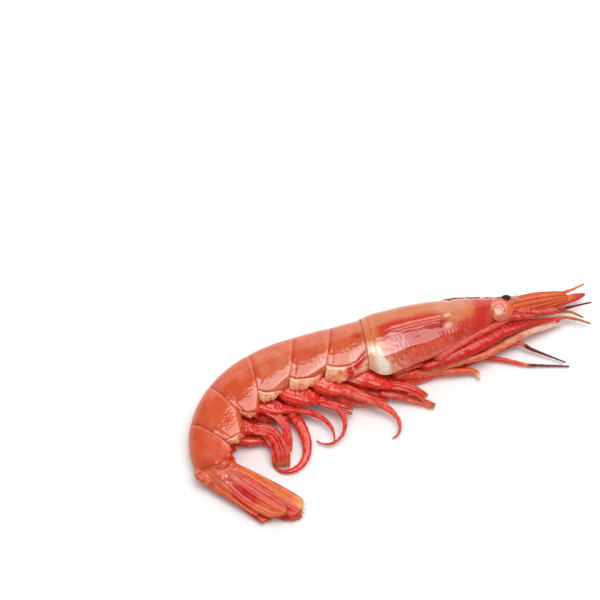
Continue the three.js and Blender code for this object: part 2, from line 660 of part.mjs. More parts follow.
addPiece("antennule_right", LIMB_RED, limbs({
  points: chain([33.6, 31, 11], [[4.4, -7, 0], [8.4, -7, -3], [10.4, 10, -6], [11.4, 17, -8]]),
  widths: [3, 2.8, 2.4, 2, 0.8, 0.7], sides: 6,
}));
addPiece("antennule_left", LIMB_RED, limbs({
  points: chain([33.6, 31.6, 6.6], [[5, 8, 0], [9, 13, -3], [9, 14, -5]]),
  widths: [2.8, 2.6, 2, 1.2], sides: 6,
}));
addPiece("antenna_left", LIMB_RED, limbs({
  points: chain([33.6, 27.4, 6], [
    [5, 5, -4], [11.8, 5, -2], [8.7, 10, -3], [4.3, -7, -10], [4.7, -15, -12],
  ]),
  widths: [3, 2.8, 2, 1.3, 1, 0.7], sides: 6,
}));
addPiece("eye_stalk_right", HEAD_RED, (grow) => ball([35.8, 29.6, 12.4], [4.5, 4.2, 2.5], 24, grow));
addPiece("cornea_right", CORNEA, (grow) => ball([38, 33.2, 12.5], [1.9, 1.8, 1.6], 10, grow), 0.12);
addPiece("eye_stalk_left", HEAD_RED, (grow) => ball([35.8, 31.6, 4.4], [3, 2.1, 1.9], 30, grow));
addPiece("cornea_left", CORNEA, (grow) => ball([38.6, 33.6, 3.8], [1.9, 1.7, 1.7], 30, grow), 0.12);

export default group;
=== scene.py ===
# %% [markdown]
# A whole cooked prawn lies on its left side on a white table. Every surface made here stands for
# one of them, in the same frame: metres, +X to the head, +Y to the prawn's back at the head, +Z
# up. Shapes are worked out in millimetres, which suit an animal of this size, and become metres
# in the mesh.

# %% Load the fixed frame
import json
import math

import bpy
import numpy as np
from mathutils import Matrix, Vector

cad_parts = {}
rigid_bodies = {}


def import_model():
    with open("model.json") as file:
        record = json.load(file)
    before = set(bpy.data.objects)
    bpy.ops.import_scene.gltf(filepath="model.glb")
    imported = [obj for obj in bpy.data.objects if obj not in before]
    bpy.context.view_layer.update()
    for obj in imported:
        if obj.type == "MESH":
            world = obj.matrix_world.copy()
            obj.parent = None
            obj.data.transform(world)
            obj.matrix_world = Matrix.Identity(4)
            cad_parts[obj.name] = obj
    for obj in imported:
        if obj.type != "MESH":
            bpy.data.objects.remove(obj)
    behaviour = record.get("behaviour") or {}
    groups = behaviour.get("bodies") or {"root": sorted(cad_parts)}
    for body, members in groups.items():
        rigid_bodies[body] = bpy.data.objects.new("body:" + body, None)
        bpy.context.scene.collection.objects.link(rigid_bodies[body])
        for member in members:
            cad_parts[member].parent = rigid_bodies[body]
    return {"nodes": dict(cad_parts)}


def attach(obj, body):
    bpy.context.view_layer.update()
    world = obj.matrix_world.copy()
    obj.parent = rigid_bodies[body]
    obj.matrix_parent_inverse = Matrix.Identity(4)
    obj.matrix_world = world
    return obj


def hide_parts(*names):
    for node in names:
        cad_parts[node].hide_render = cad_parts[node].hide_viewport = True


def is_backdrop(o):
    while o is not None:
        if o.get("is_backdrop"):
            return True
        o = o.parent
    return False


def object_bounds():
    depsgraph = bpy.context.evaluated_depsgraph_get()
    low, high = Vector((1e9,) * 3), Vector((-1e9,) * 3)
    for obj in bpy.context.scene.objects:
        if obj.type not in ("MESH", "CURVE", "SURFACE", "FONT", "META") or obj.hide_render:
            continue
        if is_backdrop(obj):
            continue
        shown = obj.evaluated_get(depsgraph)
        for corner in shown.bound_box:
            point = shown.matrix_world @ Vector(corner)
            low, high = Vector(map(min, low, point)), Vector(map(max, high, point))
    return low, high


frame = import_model()
CAD_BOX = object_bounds()
MM = 0.001
print("solids in the frame:", len(frame["nodes"]))

# %% [markdown]
# The prawn was photographed on a lit table from its belly's side, with the camera tilted well
# down. One long lens gives that flat look. A wide soft lamp hangs straight above: its mirror
# image is the pale pink band along the flanks, so its far edge is placed with care. A second
# panel, turned a little, carries the band on where the tail bends away.

# %% Camera, lamp and table
CAMERA_TARGET = (-0.0304, 0.0390, 0.0)
CAMERA_ELEVATION = 65.0
CAMERA_DISTANCE = 0.567
LENS_MM, SENSOR_MM = 100.0, 36.0
LAMP_HEIGHT = 0.60
LAMP_X = (0.0, 0.38)
LAMP_Y = (-0.13, 0.222)
PANEL_PLACE = (-0.068, 0.023)
PANEL_SIZE = (0.302, 0.30)
PANEL_TURN = 26.6
PANEL_DROP = 0.004
LAMP_RADIANCE = 4.2
WALL_PLACE = (-0.1, 1.1, 0.55)
WALL_SIZE = (2.6, 1.1)
WALL_RADIANCE = 0.9
SKY_LIGHT = 0.46
HALF_TABLE = 1.5
TABLE_WHITE = 0.93
TABLE_ROUGHNESS = 0.9

scene = bpy.context.scene
scene.view_settings.view_transform = "Standard"
scene.view_settings.look = "None"

camera_tilt = math.radians(CAMERA_ELEVATION)
camera = bpy.data.objects.new("camera", bpy.data.cameras.new("camera"))
camera.data.lens, camera.data.sensor_width = LENS_MM, SENSOR_MM
camera.location = (
    CAMERA_TARGET[0],
    CAMERA_TARGET[1] - CAMERA_DISTANCE * math.cos(camera_tilt),
    CAMERA_DISTANCE * math.sin(camera_tilt),
)
camera.rotation_euler = (math.pi / 2 - camera_tilt, 0.0, 0.0)
scene.collection.objects.link(camera)
scene.camera = camera


def add_lamp(name, place, size, radiance, tilt=0.0, turn=0.0):
    """A rectangular lamp of even radiance: its power is radiance times pi times its area."""
    data = bpy.data.lights.new(name, "AREA")
    data.shape = "RECTANGLE"
    data.size, data.size_y = size
    data.energy = radiance * math.pi * size[0] * size[1]
    lamp = bpy.data.objects.new(name, data)
    lamp.location, lamp.rotation_euler = place, (tilt, 0.0, turn)
    scene.collection.objects.link(lamp)


lamp_middle = (sum(LAMP_X) / 2, sum(LAMP_Y) / 2, LAMP_HEIGHT)
add_lamp("softbox", lamp_middle, (LAMP_X[1] - LAMP_X[0], LAMP_Y[1] - LAMP_Y[0]), LAMP_RADIANCE)
panel_place = (*PANEL_PLACE, LAMP_HEIGHT - PANEL_DROP)
add_lamp("panel", panel_place, PANEL_SIZE, LAMP_RADIANCE, turn=math.radians(PANEL_TURN))
add_lamp("white wall", WALL_PLACE, WALL_SIZE, WALL_RADIANCE, -math.pi / 2)

world = bpy.data.worlds.new("studio")
world.use_nodes = True
world.node_tree.nodes["Background"].inputs["Color"].default_value = (1.0, 1.0, 1.0, 1.0)
world.node_tree.nodes["Background"].inputs["Strength"].default_value = SKY_LIGHT
scene.world = world

table_mesh = bpy.data.meshes.new("table")
corners = [(x * HALF_TABLE, y * HALF_TABLE, 0.0) for x, y in ((-1, -1), (1, -1), (1, 1), (-1, 1))]
table_mesh.from_pydata(corners, [], [(0, 1, 2, 3)])
table = bpy.data.objects.new("table", table_mesh)
scene.collection.objects.link(table)
table_finish = bpy.data.materials.new("white table")
table_finish.use_nodes = True
table_shader = table_finish.node_tree.nodes["Principled BSDF"]
table_shader.inputs["Base Color"].default_value = (TABLE_WHITE, TABLE_WHITE, TABLE_WHITE, 1.0)
table_shader.inputs["Roughness"].default_value = TABLE_ROUGHNESS
table_mesh.materials.append(table_finish)
table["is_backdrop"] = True
print("camera at", [round(v, 3) for v in camera.location])

# %% [markdown]
# A colour read off a lit surface is not the colour of the surface itself: the light scales it
# and the gloss lays a thin white veil over it. `seen` turns a colour as the eye sees it into the
# colour to paint, so that every colour below can be named as it looks.

# %% Colours by how they look
LIGHT_LEVEL = 1.17
GLOSS_VEIL = 0.028


def seen(red, green, blue):
    """The base colour behind a seen one: linear light, less the veil, divided by the light."""
    value = np.array([red, green, blue], float) / 255.0
    linear = np.where(value <= 0.04045, value / 12.92, ((value + 0.055) / 1.055) ** 2.4)
    return np.clip((linear - GLOSS_VEIL) / LIGHT_LEVEL, 0.004, 0.95)


SHELL_BACK = seen(221, 120, 82)
SHELL_DEEP = seen(214, 86, 54)
SHELL_PALE = seen(228, 134, 102)
SEAM_RED = seen(176, 56, 36)
BLOT_RED = seen(206, 68, 46)
# Set lighter than it looks, since the lobes it paints face down into shade: partly painted light
PLATE_CREAM = seen(262, 204, 164)
PLATE_PEACH = seen(248, 182, 152)
CREAM_WHITE = seen(255, 242, 218)
SICKLE_RED = seen(204, 48, 38)
KNOB_PALE = seen(240, 168, 142)
# A painted highlight: the pale streaks of gloss along the limbs' tops
PAINTED_HIGHLIGHT_PINK = seen(248, 150, 140)
FAN_PALE = seen(236, 134, 108)
STRIPE_RED = seen(190, 60, 40)
FAN_DEEP = seen(223, 58, 24)
SCALE_TONE = seen(240, 120, 76)
EDGE_BROWN = seen(120, 44, 34)
HEAD_ORANGE = seen(213, 124, 78)
HEAD_STREAK = seen(208, 68, 40)
HEAD_TAN = seen(222, 142, 108)
HEAD_ROSE = seen(196, 66, 56)
HEM_TAN = seen(224, 132, 88)
RIDGE_PINK = seen(228, 128, 104)
GILL_RED = seen(234, 98, 76)
GILL_DARK = seen(214, 68, 52)
FRONT_RED = seen(206, 60, 44)
ORBIT_PALE = seen(226, 138, 112)
LIMB_RED = seen(242, 60, 42)
LIMB_WARM = seen(250, 84, 62)
# Painted light: lit reds, brighter than white can show, for limbs and hollows that lie in shade
PAINTED_GLOW_RED = seen(260, 96, 74)
PAINTED_GLOW_PINK = seen(264, 132, 110)
LIMB_DARK = seen(226, 40, 32)
LIMB_EDGE = seen(186, 28, 24)
LIMB_PINK = seen(236, 98, 82)
LEG_PALE = seen(232, 128, 90)
LEG_END = seen(262, 226, 202)
LEG_ORANGE = seen(238, 118, 78)
FAN_ORANGE = seen(236, 120, 54)
FAN_RED = seen(212, 46, 48)
FAN_PINK = seen(232, 104, 88)
ROOT_RED = seen(226, 98, 62)
FRINGE_YELLOW = seen(250, 176, 92)
FEELER_BROWN = seen(122, 62, 58)
FEELER_ORANGE = seen(204, 118, 78)
print("pale shell as painted:", SHELL_PALE.round(3))

# %% [markdown]
# Each surface is a grid of points: rows go along the piece and columns go round it. One helper
# turns a stack of such grids into a closed mesh, with a cap at both ends, and stores the paint
# of every point as an attribute that the finish reads back.

# %% Grids of points into meshes
rng = np.random.default_rng(7)
WAVE_PEAK = 1.4


def grid_faces(rows, columns, first):
    """Quads between neighbouring rows and columns, wrapping round; two rings of end triangles."""
    r, c = np.meshgrid(np.arange(rows - 1), np.arange(columns), indexing="ij")
    n = (c + 1) % columns
    quads = np.stack([r * columns + c, r * columns + n, (r + 1) * columns + n, (r + 1) * columns + c], -1)
    c = np.arange(columns)
    n = (c + 1) % columns
    start, end = rows * columns, rows * columns + 1
    last = (rows - 1) * columns
    head = np.stack([n, c, np.full(columns, start)], -1)
    tail = np.stack([last + c, last + n, np.full(columns, end)], -1)
    return quads.reshape(-1, 4) + first, np.concatenate([head, tail]) + first


def close_grid(points, paint):
    """Adds the two middle points of the end rings, and turns the columns so faces point out."""
    rows = len(points)
    paint = np.broadcast_to(paint, points.shape)
    middle, nxt = points[rows // 2], np.roll(points[rows // 2], -1, 0)
    ahead = points[min(rows // 2 + 1, rows - 1)].mean(0) - middle.mean(0)
    turning = np.cross(middle - middle.mean(0), nxt - middle.mean(0)).sum(0)
    if turning @ ahead < 0:
        points, paint = points[:, ::-1], paint[:, ::-1]
    flat = np.concatenate([points.reshape(-1, 3), [points[0].mean(0), points[-1].mean(0)]])
    tint = np.concatenate([paint.reshape(-1, 3), [paint[0].mean(0), paint[-1].mean(0)]])
    return flat, tint


def add_piece(name, grids, finish, nodes, bristles=()):
    """One object from several closed grids, each (points in mm, paint), and optional bristles."""
    points, tints, quads, triangles, first = [], [], [], [], 0
    for grid, paint in grids:
        flat, tint = close_grid(np.asarray(grid, float), paint)
        four, three = grid_faces(grid.shape[0], grid.shape[1], first)
        points.append(flat)
        tints.append(tint)
        quads.append(four)
        triangles.append(three)
        first += len(flat)
    for flat, tint, three in bristles:
        points.append(flat)
        tints.append(tint)
        triangles.append(three + first)
        first += len(flat)
    points, tints = np.concatenate(points), np.concatenate(tints)
    quads, triangles = np.concatenate(quads), np.concatenate(triangles)
    mesh = bpy.data.meshes.new(name)
    mesh.vertices.add(len(points))
    mesh.vertices.foreach_set("co", (points * MM).astype(np.float32).ravel())
    corners = np.concatenate([quads.ravel(), triangles.ravel()])
    starts = np.concatenate([np.arange(len(quads)) * 4, len(quads) * 4 + np.arange(len(triangles)) * 3])
    mesh.loops.add(len(corners))
    mesh.loops.foreach_set("vertex_index", corners.astype(np.int32))
    mesh.polygons.add(len(starts))
    mesh.polygons.foreach_set("loop_start", starts.astype(np.int32))
    mesh.update(calc_edges=True)
    mesh.validate()
    mesh.shade_smooth()
    color = mesh.attributes.new("paint", "FLOAT_COLOR", "POINT")
    rgba = np.concatenate([tints, np.ones((len(tints), 1))], 1)
    color.data.foreach_set("color", rgba.astype(np.float32).ravel())
    mesh.materials.append(finish)
    piece = bpy.data.objects.new(name, mesh)
    scene.collection.objects.link(piece)
    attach(piece, "root")
    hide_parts(*nodes)
    print(f"{name}: {len(points)} points, {2 * len(quads) + len(triangles)} triangles")


def waves(points, length, seed, count=10):
    """Smooth unevenness from -1 to 1: seeded sine waves in random directions, added up."""
    draw = np.random.default_rng(seed)
    heading = draw.normal(size=(count, 3))
    heading /= np.linalg.norm(heading, axis=1, keepdims=True)
    pitch = 2 * np.pi / (length * draw.uniform(0.7, 1.5, count))
    phase = draw.uniform(0, 2 * np.pi, count)
    total = np.zeros(points.shape[:-1])
    for k in range(count):
        total += np.sin(points @ (heading[k] * pitch[k]) + phase[k])
    return total / math.sqrt(count) / WAVE_PEAK


def blend(base, color, amount):
    """Lays a colour over a base by an amount from 0 to 1 at every point."""
    amount = np.clip(amount, 0, 1)[..., None]
    return base * (1 - amount) + np.asarray(color) * amount


def coats(paint, *layers):
    """Lays several colours one over the other; each layer is (colour, amount)."""
    for color, amount in layers:
        paint = blend(paint, color, amount)
    return paint


def bump_at(x, centre, width):
    """A soft hill of height 1: the bell curve of the distance from its centre."""
    return np.exp(-(((x - centre) / width) ** 2))


def smooth_table(at, knots, values, reach=2.0):
    """A table of values read off with its corners rounded: the mean over a short reach."""
    shifts = np.linspace(-1, 1, 9) * reach
    return np.mean([np.interp(at + s, knots, values) for s in shifts], 0)


def ease(x, low, high):
    """A smooth step from 0 at low to 1 at high."""
    t = np.clip((x - low) / (high - low), 0, 1)
    return t * t * (3 - 2 * t)


# %% [markdown]
# Cooked shell is a thin, wet, slightly see-through skin. Its colour changes in soft clouds, with
# fine darker specks where the pigment sits, and its wet gloss is nearly mirror-like but gently
# uneven. One finish does this for every shelled part: a noise varies the piece's paint in clouds,
# and a fine cell pattern makes the specks. The clouds also vary the roughness, and a finer noise
# makes the bump. A picture could carry all that, but a pattern in space has no seams.

# %% The wet shell finish
GRAIN_SIZE = 0.0011
RELIEF_HEIGHT = 0.0002
# The parts of each pattern's range that are stretched over the whole effect
CLOUD_RANGE, GLOSS_RANGE, SPECK_RANGE = (0.28, 0.72), (0.25, 0.75), (0.08, 0.42)
LIGHT_REACH = (1.0, 0.3, 0.15)
LIGHT_DEPTH = 0.0012
RED_FOLLOWS, OTHERS_FOLLOW = 0.35, 1.5


def add_node(tree, kind, **values):
    """A new shader node with some inputs set; an underscore in an input's name stands for a space."""
    node = tree.nodes.new("ShaderNode" + kind)
    for name, value in values.items():
        node.inputs[name.replace("_", " ")].default_value = value
    return node


def stretch(tree, source, low, high, to_low, to_high):
    """The source's range from low to high, moved in a straight line onto another range and kept in it."""
    node = add_node(tree, "MapRange", From_Min=low, From_Max=high, To_Min=to_low, To_Max=to_high)
    tree.links.new(source, node.inputs["Value"])
    return node.outputs["Result"]


def to_power(tree, source, exponent):
    """The source raised to a power."""
    node = tree.nodes.new("ShaderNodeMath")
    node.operation = "POWER"
    node.inputs[1].default_value = exponent
    tree.links.new(source, node.inputs[0])
    return node.outputs["Value"]


def wet_shell(
        name, roughness, clouds, speck, bump, sink,
        cloud_size=0.0035, speck_size=0.0007, ior=1.55):
    """Paint times clouds and specks; gloss with slight unevenness; a little light under the skin."""
    finish = bpy.data.materials.new(name)
    finish.use_nodes = True
    tree = finish.node_tree
    link = tree.links.new
    shader = tree.nodes["Principled BSDF"]
    place = tree.nodes.new("ShaderNodeTexCoord")
    paint = tree.nodes.new("ShaderNodeAttribute")
    paint.attribute_name = "paint"
    cloud = add_node(tree, "TexNoise", Scale=1 / cloud_size, Detail=4.0, Roughness=0.62)
    cells = add_node(tree, "TexVoronoi", Scale=1 / speck_size)
    grain = add_node(tree, "TexNoise", Scale=1 / GRAIN_SIZE, Detail=3.0)
    for pattern in (cloud, cells, grain):
        link(place.outputs["Object"], pattern.inputs["Vector"])

    tone = tree.nodes.new("ShaderNodeMath")
    tone.operation = "MULTIPLY"
    cloudy = stretch(tree, cloud.outputs["Fac"], *CLOUD_RANGE, 1.0 - clouds, 1.0 + clouds * 0.8)
    specked = stretch(tree, cells.outputs["Distance"], *SPECK_RANGE, 1.0 - speck, 1.0)
    link(cloudy, tone.inputs[0])
    link(specked, tone.inputs[1])
    # Green and blue follow the tone more than red does, so darker clouds look redder
    follow = tree.nodes.new("ShaderNodeCombineColor")
    link(to_power(tree, tone.outputs["Value"], RED_FOLLOWS), follow.inputs["Red"])
    others = to_power(tree, tone.outputs["Value"], OTHERS_FOLLOW)
    link(others, follow.inputs["Green"])
    link(others, follow.inputs["Blue"])
    tinted = tree.nodes.new("ShaderNodeMix")
    tinted.data_type = "RGBA"
    tinted.blend_type = "MULTIPLY"
    tinted.inputs["Factor"].default_value = 1.0
    link(paint.outputs["Color"], tinted.inputs["A"])
    link(follow.outputs["Color"], tinted.inputs["B"])
    link(tinted.outputs["Result"], shader.inputs["Base Color"])

    gloss = stretch(tree, cloud.outputs["Fac"], *GLOSS_RANGE, roughness * 0.75, roughness * 1.35)
    link(gloss, shader.inputs["Roughness"])
    relief = add_node(tree, "Bump", Strength=bump, Distance=RELIEF_HEIGHT)
    link(grain.outputs["Fac"], relief.inputs["Height"])
    link(relief.outputs["Normal"], shader.inputs["Normal"])

    shader.inputs["IOR"].default_value = ior
    shader.inputs["Subsurface Weight"].default_value = sink
    shader.inputs["Subsurface Radius"].default_value = LIGHT_REACH
    shader.inputs["Subsurface Scale"].default_value = LIGHT_DEPTH
    return finish


# Roughness, strength of the clouds and specks, bump, share of light that sinks in
shell_finish = wet_shell("wet tail shell", 0.07, 0.18, 0.16, 0.08, 0.10, speck_size=0.0009)
dull_finish = wet_shell("dull tail shell", 0.30, 0.18, 0.16, 0.10, 0.10, speck_size=0.0009)
head_finish = wet_shell("wet head shell", 0.09, 0.16, 0.14, 0.12, 0.10, cloud_size=0.003)
limb_finish = wet_shell("wet limb shell", 0.15, 0.26, 0.14, 0.28, 0.22, cloud_size=0.0018, ior=1.42)
fan_finish = wet_shell("tail fan shell", 0.28, 0.22, 0.14, 0.40, 0.10, cloud_size=0.0022, ior=1.36)
print("finishes:", len(bpy.data.materials))

# %% [markdown]
# The tail is six rings of shell on one bent spine. The spine is a chain of arcs, one to a ring,
# each with its own length and turn, so that the tail bends most near its end. Everything on the
# body is placed from this spine.

# %% The spine
CARAPACE_BACK = np.array([-8.37, 17.88])
CARAPACE_HEADING = math.radians(16.1)
SOMITE_LENGTHS = np.array([10.4, 12.5, 13.9, 13.5, 10.4, 11.9])
SOMITE_TURNS = np.radians([-2.6, 1.4, 12.8, 23.4, 24.4, 38.1])
REST_FLAT = 0.35


def arc_step(length, turn, heading):
    """The straight line from start to end of an arc run backwards: it lies along the mean heading."""
    half = turn / 2
    bow = np.where(np.abs(half) < 1e-6, 1.0, np.sin(half) / np.where(np.abs(half) < 1e-6, 1.0, half))
    mean = heading + half
    return -(length * bow)[..., None] * np.stack([np.cos(mean), np.sin(mean)], -1)


joint_places, joint_headings = [CARAPACE_BACK], [CARAPACE_HEADING]
for length, turn in zip(SOMITE_LENGTHS, SOMITE_TURNS):
    step = arc_step(np.array(length), np.array(turn), joint_headings[-1])
    joint_places.append(joint_places[-1] + step)
    joint_headings.append(joint_headings[-1] + turn)
joint_places, joint_headings = np.array(joint_places), np.array(joint_headings)


def spine(at):
    """Place and heading at a number of somites behind the carapace: an arc within each somite."""
    k = np.clip(np.floor(at).astype(int), 0, 5)
    share = at - k
    step = arc_step(SOMITE_LENGTHS[k] * share, SOMITE_TURNS[k] * share, joint_headings[k])
    return joint_places[k] + step, joint_headings[k] + SOMITE_TURNS[k] * share


print("tail end of the spine:", joint_places[-1].round(1), "mm")

# %% [markdown]
# A ring of shell seen from its end is an arch over the back with a plate hanging down on each
# side, and the belly sits up between the plates. The grid starts and ends in the middle of the
# belly, where its seam can't be seen.

# %% The section of the body
PLATE_THICKNESS = 0.55
TUCK_FROM = 0.6
FLANK_BOW = 0.15
BELLY_FROM = 2.2
TIP_SPAN, BELLY_SPAN = 0.2, 0.8


def section_columns(arch=46, flank=70, tip=8, inner=14):
    """Column positions from -3 to 3: 0 is the back, 1 the flank, 2 the plate's tip, 3 the belly."""
    side = np.concatenate([
        np.linspace(0, 1, arch, endpoint=False),
        np.linspace(1, 2, flank, endpoint=False),
        np.linspace(2, BELLY_FROM, tip, endpoint=False),
        np.linspace(BELLY_FROM, 3, inner),
    ])
    return np.concatenate([-side[::-1], side[1:-1]])


def section(columns, width, back, plate, tuck, tuck_from=TUCK_FROM):
    """Heights towards the back and distances to the side: an arch, plates that curve in, a belly."""
    w, half = np.abs(columns), width / 2
    q = np.clip(w - 1, 0, 1)
    low = np.clip((q - tuck_from) / (1 - tuck_from), 0, 1)
    round_tip = np.clip((w - 2) / TIP_SPAN, 0, 1)
    inward = np.clip((w - BELLY_FROM) / BELLY_SPAN, 0, 1)
    height = np.where(w <= 1, back * np.cos(np.minimum(w, 1) * np.pi / 2), -plate * q)
    height = height - 0.25 * np.sin(np.pi * round_tip)
    climb = plate * (0.46 * ease(inward, 0, 0.5) + 0.06 * ease(inward, 0.5, 1))
    height = height + np.where(w > BELLY_FROM, climb, 0)
    flank = half * (1 - FLANK_BOW * q * q - (tuck + 0.1 - FLANK_BOW) * low * low)
    side = np.where(w <= 1, half * np.sin(np.minimum(w, 1) * np.pi / 2), flank)
    side = side - PLATE_THICKNESS * round_tip
    side = side * np.where(w > BELLY_FROM, 1 - ease(inward, 0.35, 1) ** 0.7, 1)
    return height, side * np.sign(columns)


def body_points(place, heading, lift, height, side, slide, roll):
    """Section points in space: rolled on the spine, heights along the back, slid along the heading."""
    ahead = np.stack([np.cos(heading), np.sin(heading)], -1)
    dorsal = np.stack([-np.sin(heading), np.cos(heading)], -1)
    c, s = np.cos(roll)[:, None], np.sin(roll)[:, None]
    up, out = height * c - side * s, side * c + height * s
    flat = place[:, None] + up[..., None] * dorsal[:, None] + slide[..., None] * ahead[:, None]
    return np.concatenate([flat, (lift[:, None] + out)[..., None]], -1)


COLUMNS = section_columns()
print("columns round the body:", len(COLUMNS))

# %% [markdown]
# Each somite is a hoop whose front is tucked in under the one ahead of it, and whose back edge
# is folded in as a thin rim. Its side plates are rounded, deepest past the middle, and the hoop
# leans back towards the plates' tips. Cut hoops of a bent tube would look alike, so each ring
# takes its own width, depth, lean and roll from tables and blends into the next one's.

# %% The shape of a ring
RING_WIDTH = np.array([16.8, 16.2, 15.6, 14.6, 13.4, 12.0, 9.6])
RING_BACK = np.array([9.6, 9.4, 9.2, 9.0, 8.5, 7.9, 6.7])
RING_PLATE = np.array([11.6, 10.6, 10.6, 9.9, 8.7, 7.7, 5.0])
RING_SWEEP = np.array([2.3, 6.2, 5.9, 4.3, 1.7, 4.8, 1.6])
RING_TUCK = np.array([0.30, 0.24, 0.22, 0.20, 0.18, 0.16, 0.16])
RING_ROLL = np.radians([0, 0, -1, -2, -4, -9, -16])
SWEEP_POWER = 1.25
RIM_FOLD = np.array([[1.004, 0.02], [1.007, 0.05], [1.004, 0.09], [0.99, 0.14], [0.95, 0.22]])
SOMITE_ROWS = 104
PLUG_ROWS = 26
SPINE_END = 5.9999
SLOW_WAVE, QUICK_WAVE = 6.0, 1.5
# How much deeper the near side plate hangs: at the front, in the middle and at the back of a somite
NEAR_DEEPER = {4: (0, 0.25, 0), 5: (0, 0.25, 0.2), 6: (0.2, 0, 0)}
HIND_TUCK_FROM = 0.80
PLATE_ALONG = [-0.1, 0, 0.15, 0.3, 0.5, 0.75, 0.9, 1.0, 1.02]
PLATE_DEPTH = [0.74, 0.80, 0.87, 0.95, 1.02, 1.04, 0.99, 0.88, 0.85]
# Where the fold of the side plates runs: its column at five places from front to back
FOLD_ALONG = [0.0, 0.3, 0.55, 0.8, 1.0]
FOLD = {
    1: (1.40, 1.65, 1.66, 1.62, 1.60), 2: (1.84, 1.83, 1.76, 1.72, 1.70),
    3: (2.0, 1.93, 1.84, 1.76, 1.68), 4: (2.1, 2.0, 1.91, 1.87, 1.80),
    5: (2.15, 2.0, 1.93, 1.83, 1.78), 6: (2.3, 2.3, 2.3, 2.3, 2.3)}


def fold_line(number, along):
    """The column of the plate's fold at each place along the somite."""
    return np.interp(along, FOLD_ALONG, FOLD[number])


def somite_grid(number):
    """Rows along one somite, with the rim folded in at the back; returns points, along, columns."""
    along = np.concatenate([np.linspace(-0.09, 1, SOMITE_ROWS), RIM_FOLD[:, 0]])
    inset = np.concatenate([np.zeros(SOMITE_ROWS), RIM_FOLD[:, 1]])
    tuck_in = -0.06 if number == 1 else 0.15
    swell = 0.10 * np.sin(np.pi * np.clip(along, 0.04, 1)) ** 0.7 - tuck_in * (1 - ease(along, -0.01, 0.05))
    swell = swell - 0.12 * (1 - ease(along, -0.09, -0.02)) - 0.05 * bump_at(along, 0.90, 0.03) - inset
    depth = smooth_table(along, PLATE_ALONG, PLATE_DEPTH, 0.05)
    a, b = number - 1, number
    s = np.clip(along, 0, 1)
    width, back, plate, sweep, tuck, roll = (
        table[a] + (table[b] - table[a]) * s
        for table in (RING_WIDTH, RING_BACK, RING_PLATE, RING_SWEEP, RING_TUCK, RING_ROLL))
    lift = width / 2 - REST_FLAT
    place, heading = spine(number - 1 + along)
    w, u = np.abs(COLUMNS)[None], along[:, None]
    fold = fold_line(number, u)
    relief = -0.20 * bump_at(w, fold, 0.022) + 0.14 * bump_at(w, fold + 0.12, 0.09) * (w < 2.1)
    relief = relief * (w < 2.15) * ease(u, 0.02, 0.10)
    knob = 0.22 * bump_at(w, 1.30, 0.06) * bump_at(u, 0.97, 0.05)
    swell = swell[:, None] + relief + knob
    wide, high = width[:, None] + 2 * swell, back[:, None] + swell
    hind = number in (4, 5)
    front, middle, back_end = NEAR_DEEPER.get(number, (0, 0, 0))
    deeper = front * (1 - s) + middle * np.sin(np.pi * s) ** 0.7 + back_end * s
    near = ease(COLUMNS, -0.5, 0.5)[None]
    deep = (plate * depth - inset * 0.6)[:, None] * (1 + deeper[:, None] * near)
    tuck_from = HIND_TUCK_FROM if hind else TUCK_FROM
    height, side = section(COLUMNS[None], wide, high, deep, tuck[:, None], tuck_from)
    teeth = 0.22 * np.sin(u * 19 + number) + 0.14 * np.sin(u * 43 + 2 * number)
    if hind:
        teeth = 0.5 * np.cos(u * 21)
    ragged = teeth * ease(u, 0.2, 0.5) * ease(w, 1.84, 2.0)
    height = height - ragged
    down = np.clip((high - height) / (high + deep), 0, 1)
    slide = -sweep[:, None] * down**SWEEP_POWER
    if number == 1:
        slide = slide + 3.2 * bump_at(u, -0.09, 0.12) * ease(w, 1.45, 1.95)
    points = body_points(place, heading, lift, height, side, slide, roll)
    return points, np.broadcast_to(u, height.shape), np.broadcast_to(COLUMNS[None], height.shape)


def uneven(points, seed, coarse=0.022, fine=0.009):
    """Pushes points in and out by slow and quick smooth waves, away from the middle of their row."""
    outward = points - points.mean(1, keepdims=True)
    outward /= np.maximum(np.linalg.norm(outward, axis=-1, keepdims=True), 1e-6)
    push = coarse * waves(points, SLOW_WAVE, seed) + fine * waves(points, QUICK_WAVE, seed + 500)
    return points + outward * push[..., None]


def keep_above(points, low=0.02):
    """Flattens what would sink into the table."""
    points = points.copy()
    points[..., 2] = np.maximum(points[..., 2], low)
    return points


print("points on one ring:", (SOMITE_ROWS + len(RIM_FOLD)) * len(COLUMNS))

# %% [markdown]
# The rings aren't one colour. On the real animal the pigment lies in soft clouds, deeper towards
# each hind margin, and the side plates have cream lobes below a red fold line. A picture wrapped
# round the shell could do it, but here every point's colour is worked out from its place along
# the ring and round it, in coats like a painter's glazes, and waves roughen the marks' edges.

# %% The colours of the rings
def mark(paint, along, v, place, reach, color, amount):
    """One soft mark: place and reach are (share along the somite, column)."""
    away = ((along - place[0]) / reach[0]) ** 2 + ((v - place[1]) / reach[1]) ** 2
    return blend(paint, color, amount * np.exp(-away))


SOMITE_TONES = [
    seen(218, 113, 76), seen(218, 106, 76), seen(219, 109, 74),
    seen(222, 97, 60), seen(230, 102, 66), seen(234, 94, 60)]
